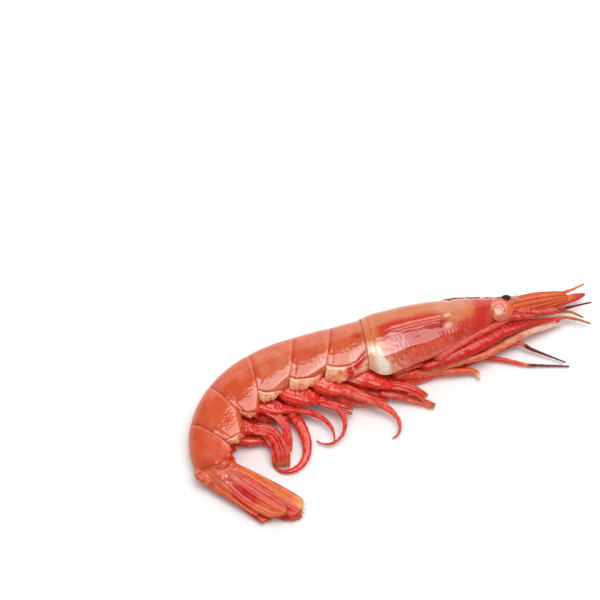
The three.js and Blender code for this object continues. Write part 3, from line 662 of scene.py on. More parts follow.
# Marks of each somite: place, reach, colour and amount
SOMITE_MARKS = {
    1: [((0.20, 0.88), (0.19, 0.13), BLOT_RED, 1.0), ((0.40, 0.55), (0.25, 0.2), SHELL_PALE, 0.5),
        ((0.95, 0.5), (0.07, 0.5), SHELL_DEEP, 0.8)],
    2: [((0.95, 0.25), (0.08, 0.3), BLOT_RED, 0.7), ((0.95, 1.0), (0.05, 0.4), SHELL_DEEP, 0.8),
        ((0.12, 0.5), (0.10, 0.4), SHELL_PALE, 0.6)],
    3: [((0.94, 0.9), (0.06, 0.5), SHELL_DEEP, 0.7), ((0.35, 0.9), (0.25, 0.25), SHELL_PALE, 0.4)],
    4: [((0.84, 1.28), (0.14, 0.13), BLOT_RED, 0.8), ((0.97, 0.3), (0.04, 0.2), BLOT_RED, 0.7)],
    5: [((0.85, 1.35), (0.16, 0.25), SHELL_DEEP, 0.7)],
    6: [((0.88, 1.85), (0.16, 0.16), BLOT_RED, 0.9), ((0.97, 0.7), (0.04, 0.6), BLOT_RED, 0.5)],
}
# How much cream shows below the fold, and where it begins and ends along the somite
LOBE_BREAK = {1: (-1.8, 0.0), 2: (-2.0, -0.2), 3: (-1.6, 0.1), 4: (-0.9, 0.1), 5: (-0.9, 0.1), 6: (0, 1)}
CREAM_SPAN = {1: (0.50, 1.2, 0.9), 2: (0.10, 1.2, 1.0), 3: (0.20, 1.2, 0.9), 4: (0.6, 1.2, 0.7),
              5: (0.55, 1.2, 0.8), 6: (2, 3, 0)}


def somite_paint(number, points, along, v):
    """Ground tone with clouds, a paler back, redder hind margin, red fold line, cream lobes."""
    cloud, fine = waves(points, 6.5, 40 + number), waves(points, 1.8, 50 + number)
    grain = waves(points, 0.9, 90 + number)
    paint = coats(
        np.broadcast_to(SOMITE_TONES[number - 1], points.shape),
        (SHELL_BACK, 0.5 * (1 - ease(v, 0.2, 0.9))),
        (SHELL_DEEP, 0.5 * ease(cloud + 0.4 * fine, 0.0, 1.1)),
        (SHELL_PALE, 0.45 * ease(-cloud + 0.4 * fine, 0.1, 1.2)),
        (SHELL_DEEP, 0.30 * ease(grain, 0.2, 1.0)),
        (SHELL_DEEP, 0.6 * ease(along, 0.82, 0.94) * (1 - ease(v, 1.2, 1.45))),
        (SHELL_PALE, 0.7 * bump_at(along, 0.045, 0.035)))
    for place, reach, color, amount in SOMITE_MARKS[number]:
        paint = mark(paint, along + 0.02 * fine, v + 0.03 * fine, place, reach, color, amount)
    fold = fold_line(number, along) + 0.008 * fine
    start, stop, amount = CREAM_SPAN[number]
    below = ease(v, fold, fold + 0.03) * (1 - ease(v, 2.15, 2.3))
    paint = blend(paint, SICKLE_RED, below * (0.65 + 0.35 * ease(fine + grain, -0.6, 0.5)))
    lobe = below * ease(along, start, start + 0.12) * (1 - ease(along, stop - 0.1, stop))
    ragged = v + 0.08 * fine + 0.09 * grain
    paint = blend(paint, LEG_ORANGE, 0.9 * lobe * (1 - ease(ragged, 2.04, 2.22)))
    lobe = lobe * (1 - ease(ragged, 1.84 if number in (2, 3) else 1.90, 2.06))
    flecks = 0.8 if number == 1 else 0.5
    paint = coats(
        paint,
        (PLATE_CREAM, amount * lobe * ease(fine + 0.5 * grain, *LOBE_BREAK[number])),
        (LEG_ORANGE, flecks * lobe * ease(cloud - 0.6 * fine, -0.4, 0.7)),
        (SEAM_RED, 0.9 * bump_at(v, fold, 0.018)))
    # The pale rim along the lower edge of the second to fourth lobes is partly their real white teeth and
    # partly painted light: it lifts the shade where the plate tucks in and stands for glints
    if number in (2, 3, 4):
        rim = lobe * bump_at(v, 1.96, 0.10) * ease(grain + fine, -0.4, 0.6)
        paint = blend(paint, CREAM_WHITE, 0.6 * rim)
    if number == 1:
        before = 1 - ease(along, 0.34, 0.44)
        streak = bump_at(v + 0.03 * fine, 1.94 - 0.1 * along, 0.05)
        streak = streak * (1 - ease(along, 0.30, 0.40)) * ease(along, 0.02, 0.1)
        # A dark red crescent below the first ring's fold is a painted shadow, where the carapace's hind
        # corner shades the ring
        sickle = 0.19 * np.sqrt(np.clip(np.sin(np.pi * np.clip((along + 0.04) / 0.42, 0, 1)), 0, 1))
        inside = np.exp(-(((v - fold - 0.10) / (sickle + 1e-3)) ** 4))
        paint = coats(
            paint,
            (PLATE_CREAM, before * ease(v, fold, fold + 0.03) * (1 - ease(v, 1.80, 1.90))),
            (PLATE_CREAM, 0.9 * streak * ease(cloud + fine, -1.0, 0.2)),
            (SICKLE_RED, (sickle > 0.001) * inside))
    # The first ring's front is painted light tan to lift the shadow in the gap under the carapace: painted
    # light. The tucked fronts of the other rings are painted darker.
    front, strength = (HEM_TAN, 0.75) if number == 1 else (SHELL_DEEP, 0.3)
    return coats(
        paint,
        (KNOB_PALE, 0.75 * (bump_at(v, 1.30, 0.07) * bump_at(along, 0.97, 0.05))),
        (BLOT_RED, 0.8 * ease(along, 0.95, 0.985) * (1 - ease(v, 1.2, 1.3))),
        (front, strength * (1 - ease(along, -0.01, 0.02)) * (v < 1.4)),
        # Inside the plates the belly is painted a lit red, lighter than the flesh, to lift the shade in that
        # hollow: painted light
        (PAINTED_GLOW_RED, 0.9 * ease(v, 2.04, 2.16)))


print("marks on the rings:", sum(map(len, SOMITE_MARKS.values())))

# %% [markdown]
# Behind the last ring a soft plug of flesh carries the fan. It is the ring's own section, carried
# a little further along the spine while it shrinks to nothing, so no hole shows between the ring
# and the leaves. With it, the six rings can be built one after the other.

# %% The six rings and the plug behind them
def tail_root_grid():
    """The soft plug that closes the last ring and carries the fan: the ring's section, shrinking."""
    share = np.linspace(0, 1, PLUG_ROWS)
    size = np.sqrt(np.clip(1 - (share * 0.97) ** 2.5, 0, 1)) * 0.97
    along = 5.97 + 0.20 * share
    place, heading = spine(np.minimum(along, SPINE_END))
    ahead = np.stack([np.cos(heading), np.sin(heading)], -1)
    place = place - ahead * np.maximum(along - SPINE_END, 0)[:, None] * SOMITE_LENGTHS[5]
    width, back, plate = RING_WIDTH[6] * size, RING_BACK[6] * size, RING_PLATE[6] * size
    lift = np.full(PLUG_ROWS, RING_WIDTH[6] / 2 - REST_FLAT)
    height, side = section(COLUMNS[None], width[:, None], back[:, None], plate[:, None], RING_TUCK[6])
    down = np.clip((back[:, None] - height) / (back + plate)[:, None].clip(0.1), 0, 1)
    slide = -RING_SWEEP[6] * down**SWEEP_POWER
    return body_points(place, heading, lift, height, side, slide, np.full(PLUG_ROWS, RING_ROLL[6]))


for number in range(1, 7):
    points, along, columns = somite_grid(number)
    points = keep_above(uneven(points, 20 + number))
    paint = somite_paint(number, points, along, np.abs(columns))
    grids = [(points, paint)]
    if number == 6:
        plug = keep_above(uneven(tail_root_grid(), 27, 0.30, 0.10))
        pale = 0.7 * ease(waves(plug, 2.2, 28), 0.1, 0.9)
        grids.append((plug, blend(np.broadcast_to(ROOT_RED, plug.shape), FAN_PALE, pale)))
    finish = dull_finish if number == 6 else shell_finish
    add_piece(f"shell_somite_{number}", grids, finish, [f"somite_{number}"])

# %% [markdown]
# The carapace is one stiff hood over the head. It uses the body's section, wide behind and
# narrow in front, and its front edge is thin and open like a helmet's. On each flank a low ridge
# runs forward, and a groove crosses the back behind the eyes. The rostrum, a thin toothed blade,
# stands on the front of the back.

# %% The carapace
CARAPACE_AT = np.array([0, 4, 9, 15, 22, 28, 35, 41, 44.5])
CARAPACE_WIDTH = np.array([17.8, 18.6, 19.2, 19.4, 18.6, 17.2, 15.0, 12.8, 11.4])
CARAPACE_TOP = np.array([9.9, 10.0, 9.9, 9.8, 9.2, 8.4, 7.4, 5.9, 5.1])
CARAPACE_PLATE = np.array([10.2, 13.2, 12.8, 11.9, 11.2, 10.0, 8.2, 6.5, 5.5])
CARAPACE_TUCK = np.array([0.36, 0.42, 0.44, 0.44, 0.42, 0.40, 0.36, 0.30, 0.26])
CARAPACE_FRONT = 44.5
CARAPACE_SWEEP = (2.3, 3.2)
CARAPACE_ROWS = 236
HEAD_DROP = 1.2
WIDEST = 19.4
ROSTRUM_FROM, ROSTRUM_TO = 27.0, 54.0
ROSTRUM_ROWS, ROSTRUM_COLUMNS = 260, 14
FIRST_TOOTH, TOOTH_PITCH = 30.4, 3.9


def carapace_lift(at):
    """Height of the head's middle over the table: it sinks a little towards the eyes."""
    return WIDEST / 2 - REST_FLAT - HEAD_DROP * np.clip((at - 15) / 30, 0, 2) ** 1.5


def carapace_place(at):
    """A straight line forward from the back edge of the carapace."""
    ahead = np.array([math.cos(CARAPACE_HEADING), math.sin(CARAPACE_HEADING)])
    return CARAPACE_BACK + at[:, None] * ahead, np.full(len(at), CARAPACE_HEADING)


def carapace_grid():
    """Rows from the tucked back edge to the front edge, both folded inwards as a thin rim."""
    back_rim = np.array([[1.2, 0.40], [0.5, 0.32], [0.1, 0.22], [0.0, 0.12], [0.03, 0.04]])
    front_rim = np.array([[0.06, 0.08], [0.05, 0.25], [-0.15, 0.4], [-1.2, 0.6], [-3.5, 0.9]])
    front_rim[:, 0] += CARAPACE_FRONT
    at = np.concatenate([back_rim[:, 0], np.linspace(0.12, CARAPACE_FRONT, CARAPACE_ROWS), front_rim[:, 0]])
    inset = np.concatenate([back_rim[:, 1], np.zeros(CARAPACE_ROWS), front_rim[:, 1]])
    width, top, plate, tuck = (
        smooth_table(at, CARAPACE_AT, table)
        for table in (CARAPACE_WIDTH, CARAPACE_TOP, CARAPACE_PLATE, CARAPACE_TUCK))
    place, heading = carapace_place(at)
    w, u = np.abs(COLUMNS)[None], at[:, None]
    ridge = 0.34 * bump_at(w, 1.10, 0.035) * ease(u, 6, 11) * (1 - ease(u, 25, 29))
    hollow = -0.16 * bump_at(w, 1.02, 0.05) * ease(u, 6, 11) * (1 - ease(u, 25, 29))
    groove = -0.40 * bump_at(u, 32.0 - 4.5 * w, 0.9) * (1 - ease(w, 1.0, 1.4))
    spine_fold = -0.12 * bump_at(u, 38.2 - 1.0 * w, 0.5) * (1 - ease(w, 0.7, 1.0))
    hem = 0.14 * bump_at(w, 1.95, 0.05) - 0.50 * (1 - ease(u, 0, 3.5)) - 0.10 * bump_at(u, 2.0, 0.4)
    front = 0.02 * bump_at(u, CARAPACE_FRONT - 0.5, 0.5)
    relief = (ridge + hollow + groove + spine_fold + hem + front) * (w < 2.1)
    swell = relief - inset[:, None]
    deep = (plate * (1 - 0.10 * bump_at(at, 0, 1.6)))[:, None] - inset[:, None] * 0.6
    high = top[:, None] + swell
    height, side = section(COLUMNS[None], width[:, None] + 2 * swell, high, deep, tuck[:, None])
    down = np.clip((high - height) / (high + deep), 0, 1)
    sweep = np.interp(at, [0, CARAPACE_FRONT], CARAPACE_SWEEP)
    slide = -sweep[:, None] * down**SWEEP_POWER
    points = body_points(place, heading, carapace_lift(at), height, side, slide, np.zeros(len(at)))
    return points, np.broadcast_to(u, height.shape), np.broadcast_to(COLUMNS[None], height.shape)


points, along, columns = carapace_grid()
print("carapace:", points.shape[0], "rows of", points.shape[1], "points")

# %% [markdown]
# The rostrum is a thin blade with a saw of small teeth, dark along its upper edge. Each tooth is
# a slope that rises and drops back, repeated along the blade, and the blade's section is a thin
# lens. Its colour follows the turn round the lens, so that only the crest is dark.

# %% The rostrum
def rostrum_grid():
    """A toothed blade: rows along it, columns round a thin lens that stands on the back."""
    at = np.linspace(ROSTRUM_FROM, ROSTRUM_TO, ROSTRUM_ROWS)
    top = smooth_table(np.minimum(at, CARAPACE_FRONT), CARAPACE_AT, CARAPACE_TOP)
    top = np.where(at > CARAPACE_FRONT, 5.1 - (at - CARAPACE_FRONT) * 0.13, top)
    share = (at - ROSTRUM_FROM) / (ROSTRUM_TO - ROSTRUM_FROM)
    tooth = ((at - FIRST_TOOTH) / TOOTH_PITCH) % 1.0
    saw = np.where((at > FIRST_TOOTH) & (at < 53.5), 0.26 * tooth**2 * (1 - ease(tooth, 0.9, 1)), 0)
    upper = top + 1.25 * ease(at, 27, 30) * (1 - 0.6 * ease(at, 40, 54)) + saw
    lower = np.where(at < 43, top - 1.4, top - 1.4 + 0.9 * ease(at, 43, 54))
    turn = np.linspace(0, 2 * np.pi, ROSTRUM_COLUMNS, endpoint=False)
    thick = 0.5 * (1 - 0.55 * share) * np.sqrt(np.clip((54.3 - at) / 3, 0, 1))
    middle, reach = (upper + lower) / 2, (upper - lower) / 2
    taper = np.sqrt(np.clip((54.05 - at) / 2.5, 0.01, 1))
    height = middle[:, None] + (reach * taper)[:, None] * np.cos(turn)[None]
    side = thick[:, None] * np.sin(turn)[None]
    place, heading = carapace_place(at)
    flat = np.zeros_like(height)
    return body_points(place, heading, carapace_lift(at), height, side, flat, np.zeros(len(at)))


def rostrum_paint(points):
    """Dark brown along the upper edge, with a pale stretch, and pale gaps between the front teeth."""
    run = np.linspace(ROSTRUM_FROM, ROSTRUM_TO, ROSTRUM_ROWS)[:, None]
    crest = np.cos(np.linspace(0, 2 * np.pi, ROSTRUM_COLUMNS, endpoint=False))[None]
    gaps = 0.5 + 0.5 * np.cos((run - FIRST_TOOTH) * 2 * np.pi / TOOTH_PITCH)
    dark = 1 - 0.8 * bump_at(run, 36.8, 0.6) - ease(run, 40.5, 42) * gaps
    return blend(np.broadcast_to(KNOB_PALE, points.shape), EDGE_BROWN, ease(crest, 0.05, 0.35) * dark)


blade = rostrum_grid()
print("rostrum:", blade.shape[0], "rows of", blade.shape[1], "points")

# %% [markdown]
# The hood is tan on the back, with a red streak, deep rose under its ridge, fibrous and red over
# the gills, and cream at its hind corner. As on the rings, each colour is one coat with its own
# place and reach. Waves that are squeezed along the body draw the fibres.

# %% The colours of the carapace
def patch(u, v, place, reach):
    """A soft oval on the carapace: place and reach are (mm along, column)."""
    return np.exp(-(((u - place[0]) / reach[0]) ** 2 + ((v - place[1]) / reach[1]) ** 2) ** 1.5)


def carapace_paint(points, u, v):
    """Tan back, red streak above the ridge, deep rose below it, cream hind corner, dark front."""
    cloud, fine = waves(points, 7.0, 62), waves(points, 1.6, 63)
    fibre, grain = waves(points * [3.0, 0.6, 0.6], 2.2, 64), waves(points, 0.9, 65)
    vv = v + 0.03 * cloud
    low_edge = np.interp(u, [6, 10, 13.3, 17, 28], [1.80, 1.77, 1.66, 1.58, 1.54])
    gill = ease(vv + 0.05 * fine + 0.03 * grain, low_edge, low_edge + 0.14) * ease(u, 5.5, 8)
    # The back and the ridge, then the gill cover below them
    paint = coats(
        np.broadcast_to(HEAD_ORANGE, points.shape),
        (HEAD_STREAK, 0.95 * ease(vv, 0.76, 0.90) * (1 - ease(u, 24, 31)) * ease(u, 2.5, 6)),
        (HEAD_STREAK, 0.5 * patch(u, v, (3.0, 0.35), (2.5, 0.2))),
        (HEAD_TAN, 0.9 * np.sqrt(patch(u, v + 0.05 * cloud, (30.0, 0.72), (5.0, 0.36)))),
        (HEAD_ROSE, ease(vv, 1.02, 1.10) * ease(u, 5, 9) * (1 - ease(u, 27, 29))),
        # A pink line along the ridge's crest stands for its highlight: painted highlight
        (RIDGE_PINK, 0.8 * bump_at(v, 1.10, 0.03) * ease(u, 7, 12) * (1 - ease(u, 25, 28))),
        (GILL_RED, gill * (0.85 + 0.15 * fibre)),
        (GILL_DARK, 0.6 * gill * ease(fibre + 0.5 * grain, 0.1, 1.1)),
        (LEG_PALE, 0.7 * gill * ease(0.7 * grain + fine - 0.3 * fibre, 0.0, 1.5)),
        (PLATE_PEACH, 0.4 * gill * (1 - ease(u, 9, 16)) * ease(fine + grain, -0.8, 0.6)),
        (GILL_DARK, 0.7 * bump_at(v, low_edge, 0.025) * ease(u, 6, 9) * (1 - ease(u, 15, 18))))
    # The front, with the pale marks behind the eye
    mottle = ease(u, 27, 31) * (1 - ease(u, 35, 38)) * ease(v, 1.05, 1.2) * ease(grain + fine, 0.1, 1.2)
    paint = coats(
        paint,
        (FRONT_RED, 0.9 * ease(vv, 1.02, 1.42) * ease(u + 2 * cloud, 25.5, 33)),
        (HEAD_TAN, 0.30 * mottle),
        (HEAD_TAN, 0.6 * patch(u, v + 0.04 * fine, (31.5, 1.16), (3.0, 0.16))),
        (CREAM_WHITE, 0.6 * patch(u, v, (28.1, 1.00), (1.3, 0.05))),
        (KNOB_PALE, 0.8 * patch(u, v, (28.0, 1.33), (1.6, 0.09))),
        (FEELER_BROWN, 0.8 * patch(u, v, (25.6, 1.31), (0.7, 0.035))),
        (FRONT_RED, 0.95 * ease(u + 1.2 * cloud, 36.6, 39.4)),
        (HEAD_TAN, 0.15 * patch(u, v, (43.0, 1.5), (1.2, 0.5))))
    # The cream hind corner and the rims
    cream_end = np.interp(v, [1.18, 1.3, 1.5, 1.7, 1.86, 2.05], [4.5, 6.5, 4.6, 5.2, 7.0, 8.2]) + 0.5 * fine
    cream = (1 - ease(u + 0.4 * grain, cream_end - 1.8, cream_end + 1.8)) * ease(v, 1.12, 1.28)
    beside = ease(v, 1.25, 1.45) * (1 - ease(u + 1.5 * fine, 9.0, 15.0))
    white = patch(u, v, (2.6, 1.50), (2.4, 0.16)) + patch(u, v, (4.4, 1.80), (2.6, 0.22))
    ring = np.hypot((u - 6.3) / 1.3, (v - 1.62) / 0.10)
    hem = (1 - ease(u, 2.6, 4.2)) * (1 - ease(v, 1.1, 1.3))
    return coats(
        paint,
        (PLATE_PEACH, 0.5 * beside * ease(0.6 * fine + grain, -1.5, 1.5)),
        (PLATE_PEACH, 0.85 * cream),
        (CREAM_WHITE, np.clip(1.2 * white, 0, 1) * cream),
        (RIDGE_PINK, 0.35 * beside * ease(grain - 0.4 * fine, 0.0, 1.3)),
        (HEAD_ROSE, 0.5 * bump_at(ring, 1.0, 0.25)),
        (HEM_TAN, 0.8 * hem),
        (SEAM_RED, 0.5 * bump_at(u, 2.0, 0.22) * (1 - ease(v, 0.9, 1.1))),
        # The hind rim is painted pale tan: the joint has a pale line, and the paint also lifts the shadow in
        # the gap over the first ring (painted light)
        (HEM_TAN, 0.6 * (1 - ease(u, 0.04, 0.40)) * (1 - ease(v, 1.9, 2.1))),
        (SEAM_RED, 0.6 * ease(u, CARAPACE_FRONT - 0.3, CARAPACE_FRONT)),
        # Inside the plates the belly is painted a lit red to lift the shade in that hollow: painted light
        (PAINTED_GLOW_RED, 0.9 * ease(v, 2.04, 2.16)))


gill_grain = 0.026 * ease(np.abs(columns), 1.40, 1.58) * ease(along, 6, 10)
points = keep_above(uneven(points, 61, 0.03, 0.010 + gill_grain))
paint = carapace_paint(points, along, np.abs(columns))
grids = [(points, paint), (blade, rostrum_paint(blade))]
add_piece("shell_carapace", grids, head_finish, ["carapace"])

# %% [markdown]
# A leaf of shell, such as a paddle of the tail fan or the scale beside a feeler, is a thin plate
# with its own outline on each side, lengthwise ribs on its faces and a firm border. It tapers to
# a thin edge and may bow a little.

# %% Leaves of shell
LEAF_ROWS, LEAF_COLUMNS = 90, 88


def leaf_frame(heading, climb, roll):
    """Three directions of a leaf: along it, across it and out of its face."""
    h, c, r = map(math.radians, (heading, climb, roll))
    along = np.array([math.cos(h) * math.cos(c), math.sin(h) * math.cos(c), math.sin(c)])
    level = np.array([-math.sin(h), math.cos(h), 0.0])
    up = np.cross(along, level)
    across = level * math.cos(r) + up * math.sin(r)
    return along, across, np.cross(along, across)


def leaf_grid(
        base, heading, climb, length, roll, widths, thickness, ribs=(),
        bow=0.0, skew=0.0, tip=0.10):
    """Rows along the leaf, columns round a thin lens; ribs are (place across, height, width)."""
    along, across, face = leaf_frame(heading, climb, roll)
    s = np.linspace(0, 1, LEAF_ROWS)
    knots = np.linspace(0, 1, len(widths))
    half = smooth_table(s, knots, np.array(widths) / 2, 0.06)
    half = half * np.sqrt(np.clip((1.002 - s) / tip, 0.004, 1)) ** 0.8
    thick = np.interp(s, np.linspace(0, 1, len(thickness)), thickness) / 2
    turn = np.linspace(0, 2 * np.pi, LEAF_COLUMNS, endpoint=False)
    x = np.cos(turn)
    lens = np.sign(np.sin(turn)) * np.abs(np.sin(turn)) ** 0.8
    relief = 0.045 * np.cos(22 * x) + sum(h * bump_at(x, c, w) for c, h, w in ribs)
    lift = thick[:, None] * lens[None]
    fade = ease(s, 0.0, 0.2) * (1 - ease(s, 0.86, 1.0))
    lift = lift + np.where(np.sin(turn) > 0, 1, -0.4)[None] * relief[None] * fade[:, None]
    centre = np.array(base) + np.outer(s * length, along) + np.outer(bow * np.sin(np.pi * s), face)
    centre = centre + np.outer(skew * np.sin(np.pi * s), across)
    points = centre[:, None] + (half[:, None] * x[None])[..., None] * across + lift[..., None] * face
    points = points + 0.10 * waves(points, 5.0, 33)[..., None] * face
    return points, np.broadcast_to(s[:, None], lift.shape), np.broadcast_to(x[None], lift.shape)


def bead_grid(centre, radii, heading, rows=40, around=48):
    """An egg-shaped bead: rows from pole to pole along the heading, columns round it."""
    angle = np.linspace(0.02, np.pi - 0.02, rows)
    turn = np.linspace(0, 2 * np.pi, around, endpoint=False)
    x = -np.cos(angle)[:, None] * np.ones(around) * radii[0]
    y = np.sin(angle)[:, None] * np.cos(turn) * radii[1]
    z = np.sin(angle)[:, None] * np.sin(turn) * radii[2]
    h = math.radians(heading)
    turned = np.stack([x * math.cos(h) - y * math.sin(h), x * math.sin(h) + y * math.cos(h), z], -1)
    return turned + np.array(centre)


def fan_paint(points, s, x, inner, edge, tip):
    """A leaf's colours: one inside, one towards its borders, one at its tip, with clouds."""
    cloud = waves(points, 4.0, 71)
    return coats(
        np.broadcast_to(inner, points.shape),
        (edge, ease(np.abs(x) + 0.1 * cloud, 0.45, 0.85)),
        (ROOT_RED, 0.5 * ease(waves(points, 1.6, 72) + 0.6 * cloud, 0.2, 1.2)),
        (tip, ease(s + 0.04 * cloud, 0.84, 0.98)))


def stripes(paint, x, places, width, color, amount):
    """Lengthwise lines at given places across a leaf."""
    for place in places:
        paint = blend(paint, color, amount * bump_at(x, place, width))
    return paint


print("a leaf has", LEAF_ROWS * LEAF_COLUMNS, "points")

# %% [markdown]
# Bristles edge the fan, the swimming legs and the mouth feet. Hair could be grown in Blender, but
# a real mesh keeps its place in every program. So each bristle is the plainest solid there is, a
# long thin pyramid with four corners, and hundreds are worked out at once from roots and tips.

# %% Bristles
BRISTLE_FLOOR = 0.05


def spikes(roots, tips, radius, paint):
    """Bristles: a three-sided spike from each root to its tip, as four-point pyramids."""
    tips = keep_above(tips, BRISTLE_FLOOR)
    along = tips - roots
    along /= np.maximum(np.linalg.norm(along, axis=1, keepdims=True), 1e-9)
    side = np.cross(along, [0.31, 0.27, 0.91])
    side /= np.maximum(np.linalg.norm(side, axis=1, keepdims=True), 1e-9)
    third = np.cross(along, side)
    turn = np.arange(3) * 2 * np.pi / 3
    ring = np.cos(turn)[None, :, None] * side[:, None] + np.sin(turn)[None, :, None] * third[:, None]
    base = roots[:, None] + radius * ring
    points = np.concatenate([base, tips[:, None]], 1).reshape(-1, 3)
    first = np.arange(len(roots))[:, None, None] * 4
    faces = np.array([[0, 1, 3], [1, 2, 3], [2, 0, 3], [2, 1, 0]])[None] + first
    tint = np.broadcast_to(paint, (len(points), 3))
    return points, tint, faces.reshape(-1, 3)


print("triangles in one bristle:", len(spikes(np.zeros((1, 3)), np.ones((1, 3)), 0.1, 0.0)[2]))

# %% [markdown]
# The tail fan is folded shut. The telson is a narrow three-cornered spike with a groove down its
# back. Over the left paddles lie the right ones: the inner paddle has two pale ribs, and the
# outer one is orange with a yellow fringe of bristles at its end.

# %% The leaves of the tail fan
INNER_RIBS = [
    (-0.78, 0.16, 0.07), (0.06, 0.22, 0.08), (0.80, 0.18, 0.07),
    (-0.35, -0.14, 0.12), (0.42, -0.12, 0.12)]
OUTER_RIBS = [(0.55, 0.16, 0.10), (-0.50, -0.22, 0.10), (0.93, 0.12, 0.06)]
FAN = {
    "telson": dict(
        base=[-61.5, -23.6, 5.2], heading=-40, climb=-5, length=23.0, roll=38,
        widths=[7.2, 7.6, 6.6, 5.2, 3.8, 2.6, 1.4], thickness=[4.2, 3.2, 2.2, 1.0],
        ribs=[(-0.45, 0.25, 0.10), (0.42, 0.28, 0.10), (0.0, -0.26, 0.14), (0.75, 0.16, 0.06)]),
    "uropod_endopod_right": dict(
        base=[-56.2, -23.6, 6.6], heading=-34, climb=-4, length=25.6, roll=12, skew=-1.2,
        widths=[3.6, 6.4, 8.0, 8.6, 8.6, 7.8, 6.2], thickness=[2.6, 2, 1.4, 0.9], ribs=INNER_RIBS, tip=0.14),
    "uropod_exopod_right": dict(
        base=[-54, -22.4, 6.2], heading=-31.5, climb=-5, length=27.8, roll=4,
        widths=[3.6, 5, 6.0, 6.8, 7.4, 7.8, 7.4], thickness=[2.8, 2, 1.4, 0.9], ribs=OUTER_RIBS, tip=0.06),
    "uropod_endopod_left": dict(
        base=[-57, -23.8, 2.6], heading=-42, climb=-2, length=22.4, roll=-6,
        widths=[3.4, 6, 7.4, 7.6, 7.2, 6.4, 5.4], thickness=[2.2, 1.8, 1.4, 0.9], ribs=INNER_RIBS, tip=0.04),
    "uropod_exopod_left": dict(
        base=[-54, -21.8, 1.8], heading=-34.2, climb=-1.5, length=28.6, roll=0,
        widths=[3.2, 5.4, 7.2, 8.6, 9.6, 9.2, 6.4], thickness=[2.2, 1.8, 1.4, 0.9],
        ribs=OUTER_RIBS, tip=0.12),
}
print("leaves of the fan:", len(FAN))

# %% [markdown]
# The leaves are streaked lengthwise where the real ones have ribs and folds, pale on a crest and
# red in a furrow; the pale lines are partly the ribs' own colour and partly painted highlights.
# The lines are laid across the leaf's width and then broken up by waves, since an unbroken line
# looks drawn.

# %% The colours of the fan
# Inside, border and tip colours of each leaf. The tips of the telson and of the left paddles lie in shade
# and are painted a lit red: painted light.
FAN_COLORS = {
    "telson": (SCALE_TONE, ROOT_RED, PAINTED_GLOW_RED),
    "uropod_endopod_right": (FAN_RED, FAN_DEEP, FAN_PINK),
    "uropod_exopod_right": (FAN_ORANGE, FAN_ORANGE, FRINGE_YELLOW),
    "uropod_endopod_left": (FAN_DEEP, FAN_DEEP, PAINTED_GLOW_RED),
    "uropod_exopod_left": (FAN_DEEP, FAN_DEEP, PAINTED_GLOW_RED),
}
# Lengthwise lines on the leaves: places across, width, colour and amount
FAN_LINES = {
    "telson": [
        ([0.40, 0.78], 0.11, FAN_PALE, 0.9), ([0.88], 0.10, LEG_END, 0.7),
        ([0.0, 0.60, -0.5], 0.07, STRIPE_RED, 0.6), ([-0.92], 0.1, STRIPE_RED, 0.7)],
    "uropod_endopod_right": [
        ([0.66], 0.24, FAN_PINK, 0.95), ([0.90, 0.36, -0.52], 0.06, FAN_PALE, 0.8),
        ([-0.74], 0.08, FAN_ORANGE, 0.6), ([0.44, -0.2, -0.62], 0.03, STRIPE_RED, 0.45),
        ([-0.97, 0.99], 0.05, STRIPE_RED, 0.9)],
    "uropod_exopod_right": [
        ([-0.85], 0.35, FAN_DEEP, 0.9), ([0.99], 0.09, EDGE_BROWN, 0.9),
        ([0.55, 0.2, -0.2], 0.05, STRIPE_RED, 0.5)],
    "uropod_endopod_left": [([0.06, -0.5], 0.07, FAN_PINK, 0.5), ([-0.97], 0.06, STRIPE_RED, 0.8)],
    "uropod_exopod_left": [([-0.6, -0.2, 0.3], 0.06, FAN_ORANGE, 0.6)],
}
# Soft lumps where the leaves are rooted: centre, radii and heading
FAN_LUMPS = {
    "telson": [([-60.4, -25.6, 4.9], [4.4, 2.9, 2.2], -34)],
    "uropod_endopod_right": [
        ([-56.4, -25.0, 6.0], [4.4, 2.7, 2.1], -38), ([-53.0, -27.4, 5.9], [3.6, 1.3, 1.1], -36)],
    "uropod_exopod_right": [([-52.8, -23.6, 5.9], [4.2, 2.2, 1.8], -30)],
}
print("lines on the fan:", sum(len(lines) for lines in FAN_LINES.values()))

# %% [markdown]
# Soft lumps of flesh swell where the leaves are rooted, and a fringe of short bristles edges each
# paddle's end. The fringe takes its roots from the leaf's own last rows, so it sits on the edge
# however the leaf is turned.

# %% Lumps, fringes and the finished fan
BRISTLE_COUNT = 150


def lump_piece(lump, ground, order, k):
    """One soft lump: an uneven bead with pale clouds and whitish flecks that are painted glints."""
    bead = uneven(bead_grid(*lump, 56, 72), 35 + 3 * order + k, 0.24, 0.05)
    # The whitish flecks stand for glints on the wet flesh: painted highlights
    fleck = waves(bead, 1.6, 46 + k) + 0.7 * waves(bead, 0.7, 56 + k)
    paint = coats(
        np.broadcast_to(ground, bead.shape),
        (FAN_PALE, 0.8 * ease(waves(bead, 2.0, 36 + k), -0.3, 0.8)),
        (LEG_END, 0.7 * ease(fleck, 0.5, 1.3)))
    return keep_above(bead), paint


def fan_fringe(points, shape, color):
    """Bristles on a leaf's end: roots spread over its last rows, tips fanned out a little."""
    along, across = leaf_frame(shape["heading"], shape["climb"], shape["roll"])[:2]
    place = rng.uniform(-0.94, 0.94, BRISTLE_COUNT)
    back = (5 * place**2 + rng.uniform(0.5, 3, BRISTLE_COUNT)).astype(int)
    row = np.clip(LEAF_ROWS - 1 - back, 0, LEAF_ROWS - 1)
    half = np.abs((points[row] - points[row].mean(1, keepdims=True)) @ across).max(1)
    roots = points[row].mean(1) + (place * half)[:, None] * across
    fan_out = along + across * (place * 0.25)[:, None] + rng.normal(0, 0.06, (BRISTLE_COUNT, 3))
    length = rng.uniform(0.5, 1.2, BRISTLE_COUNT) + (rng.random(BRISTLE_COUNT) < 0.1)
    return spikes(roots, roots + fan_out * length[:, None], 0.10, color)


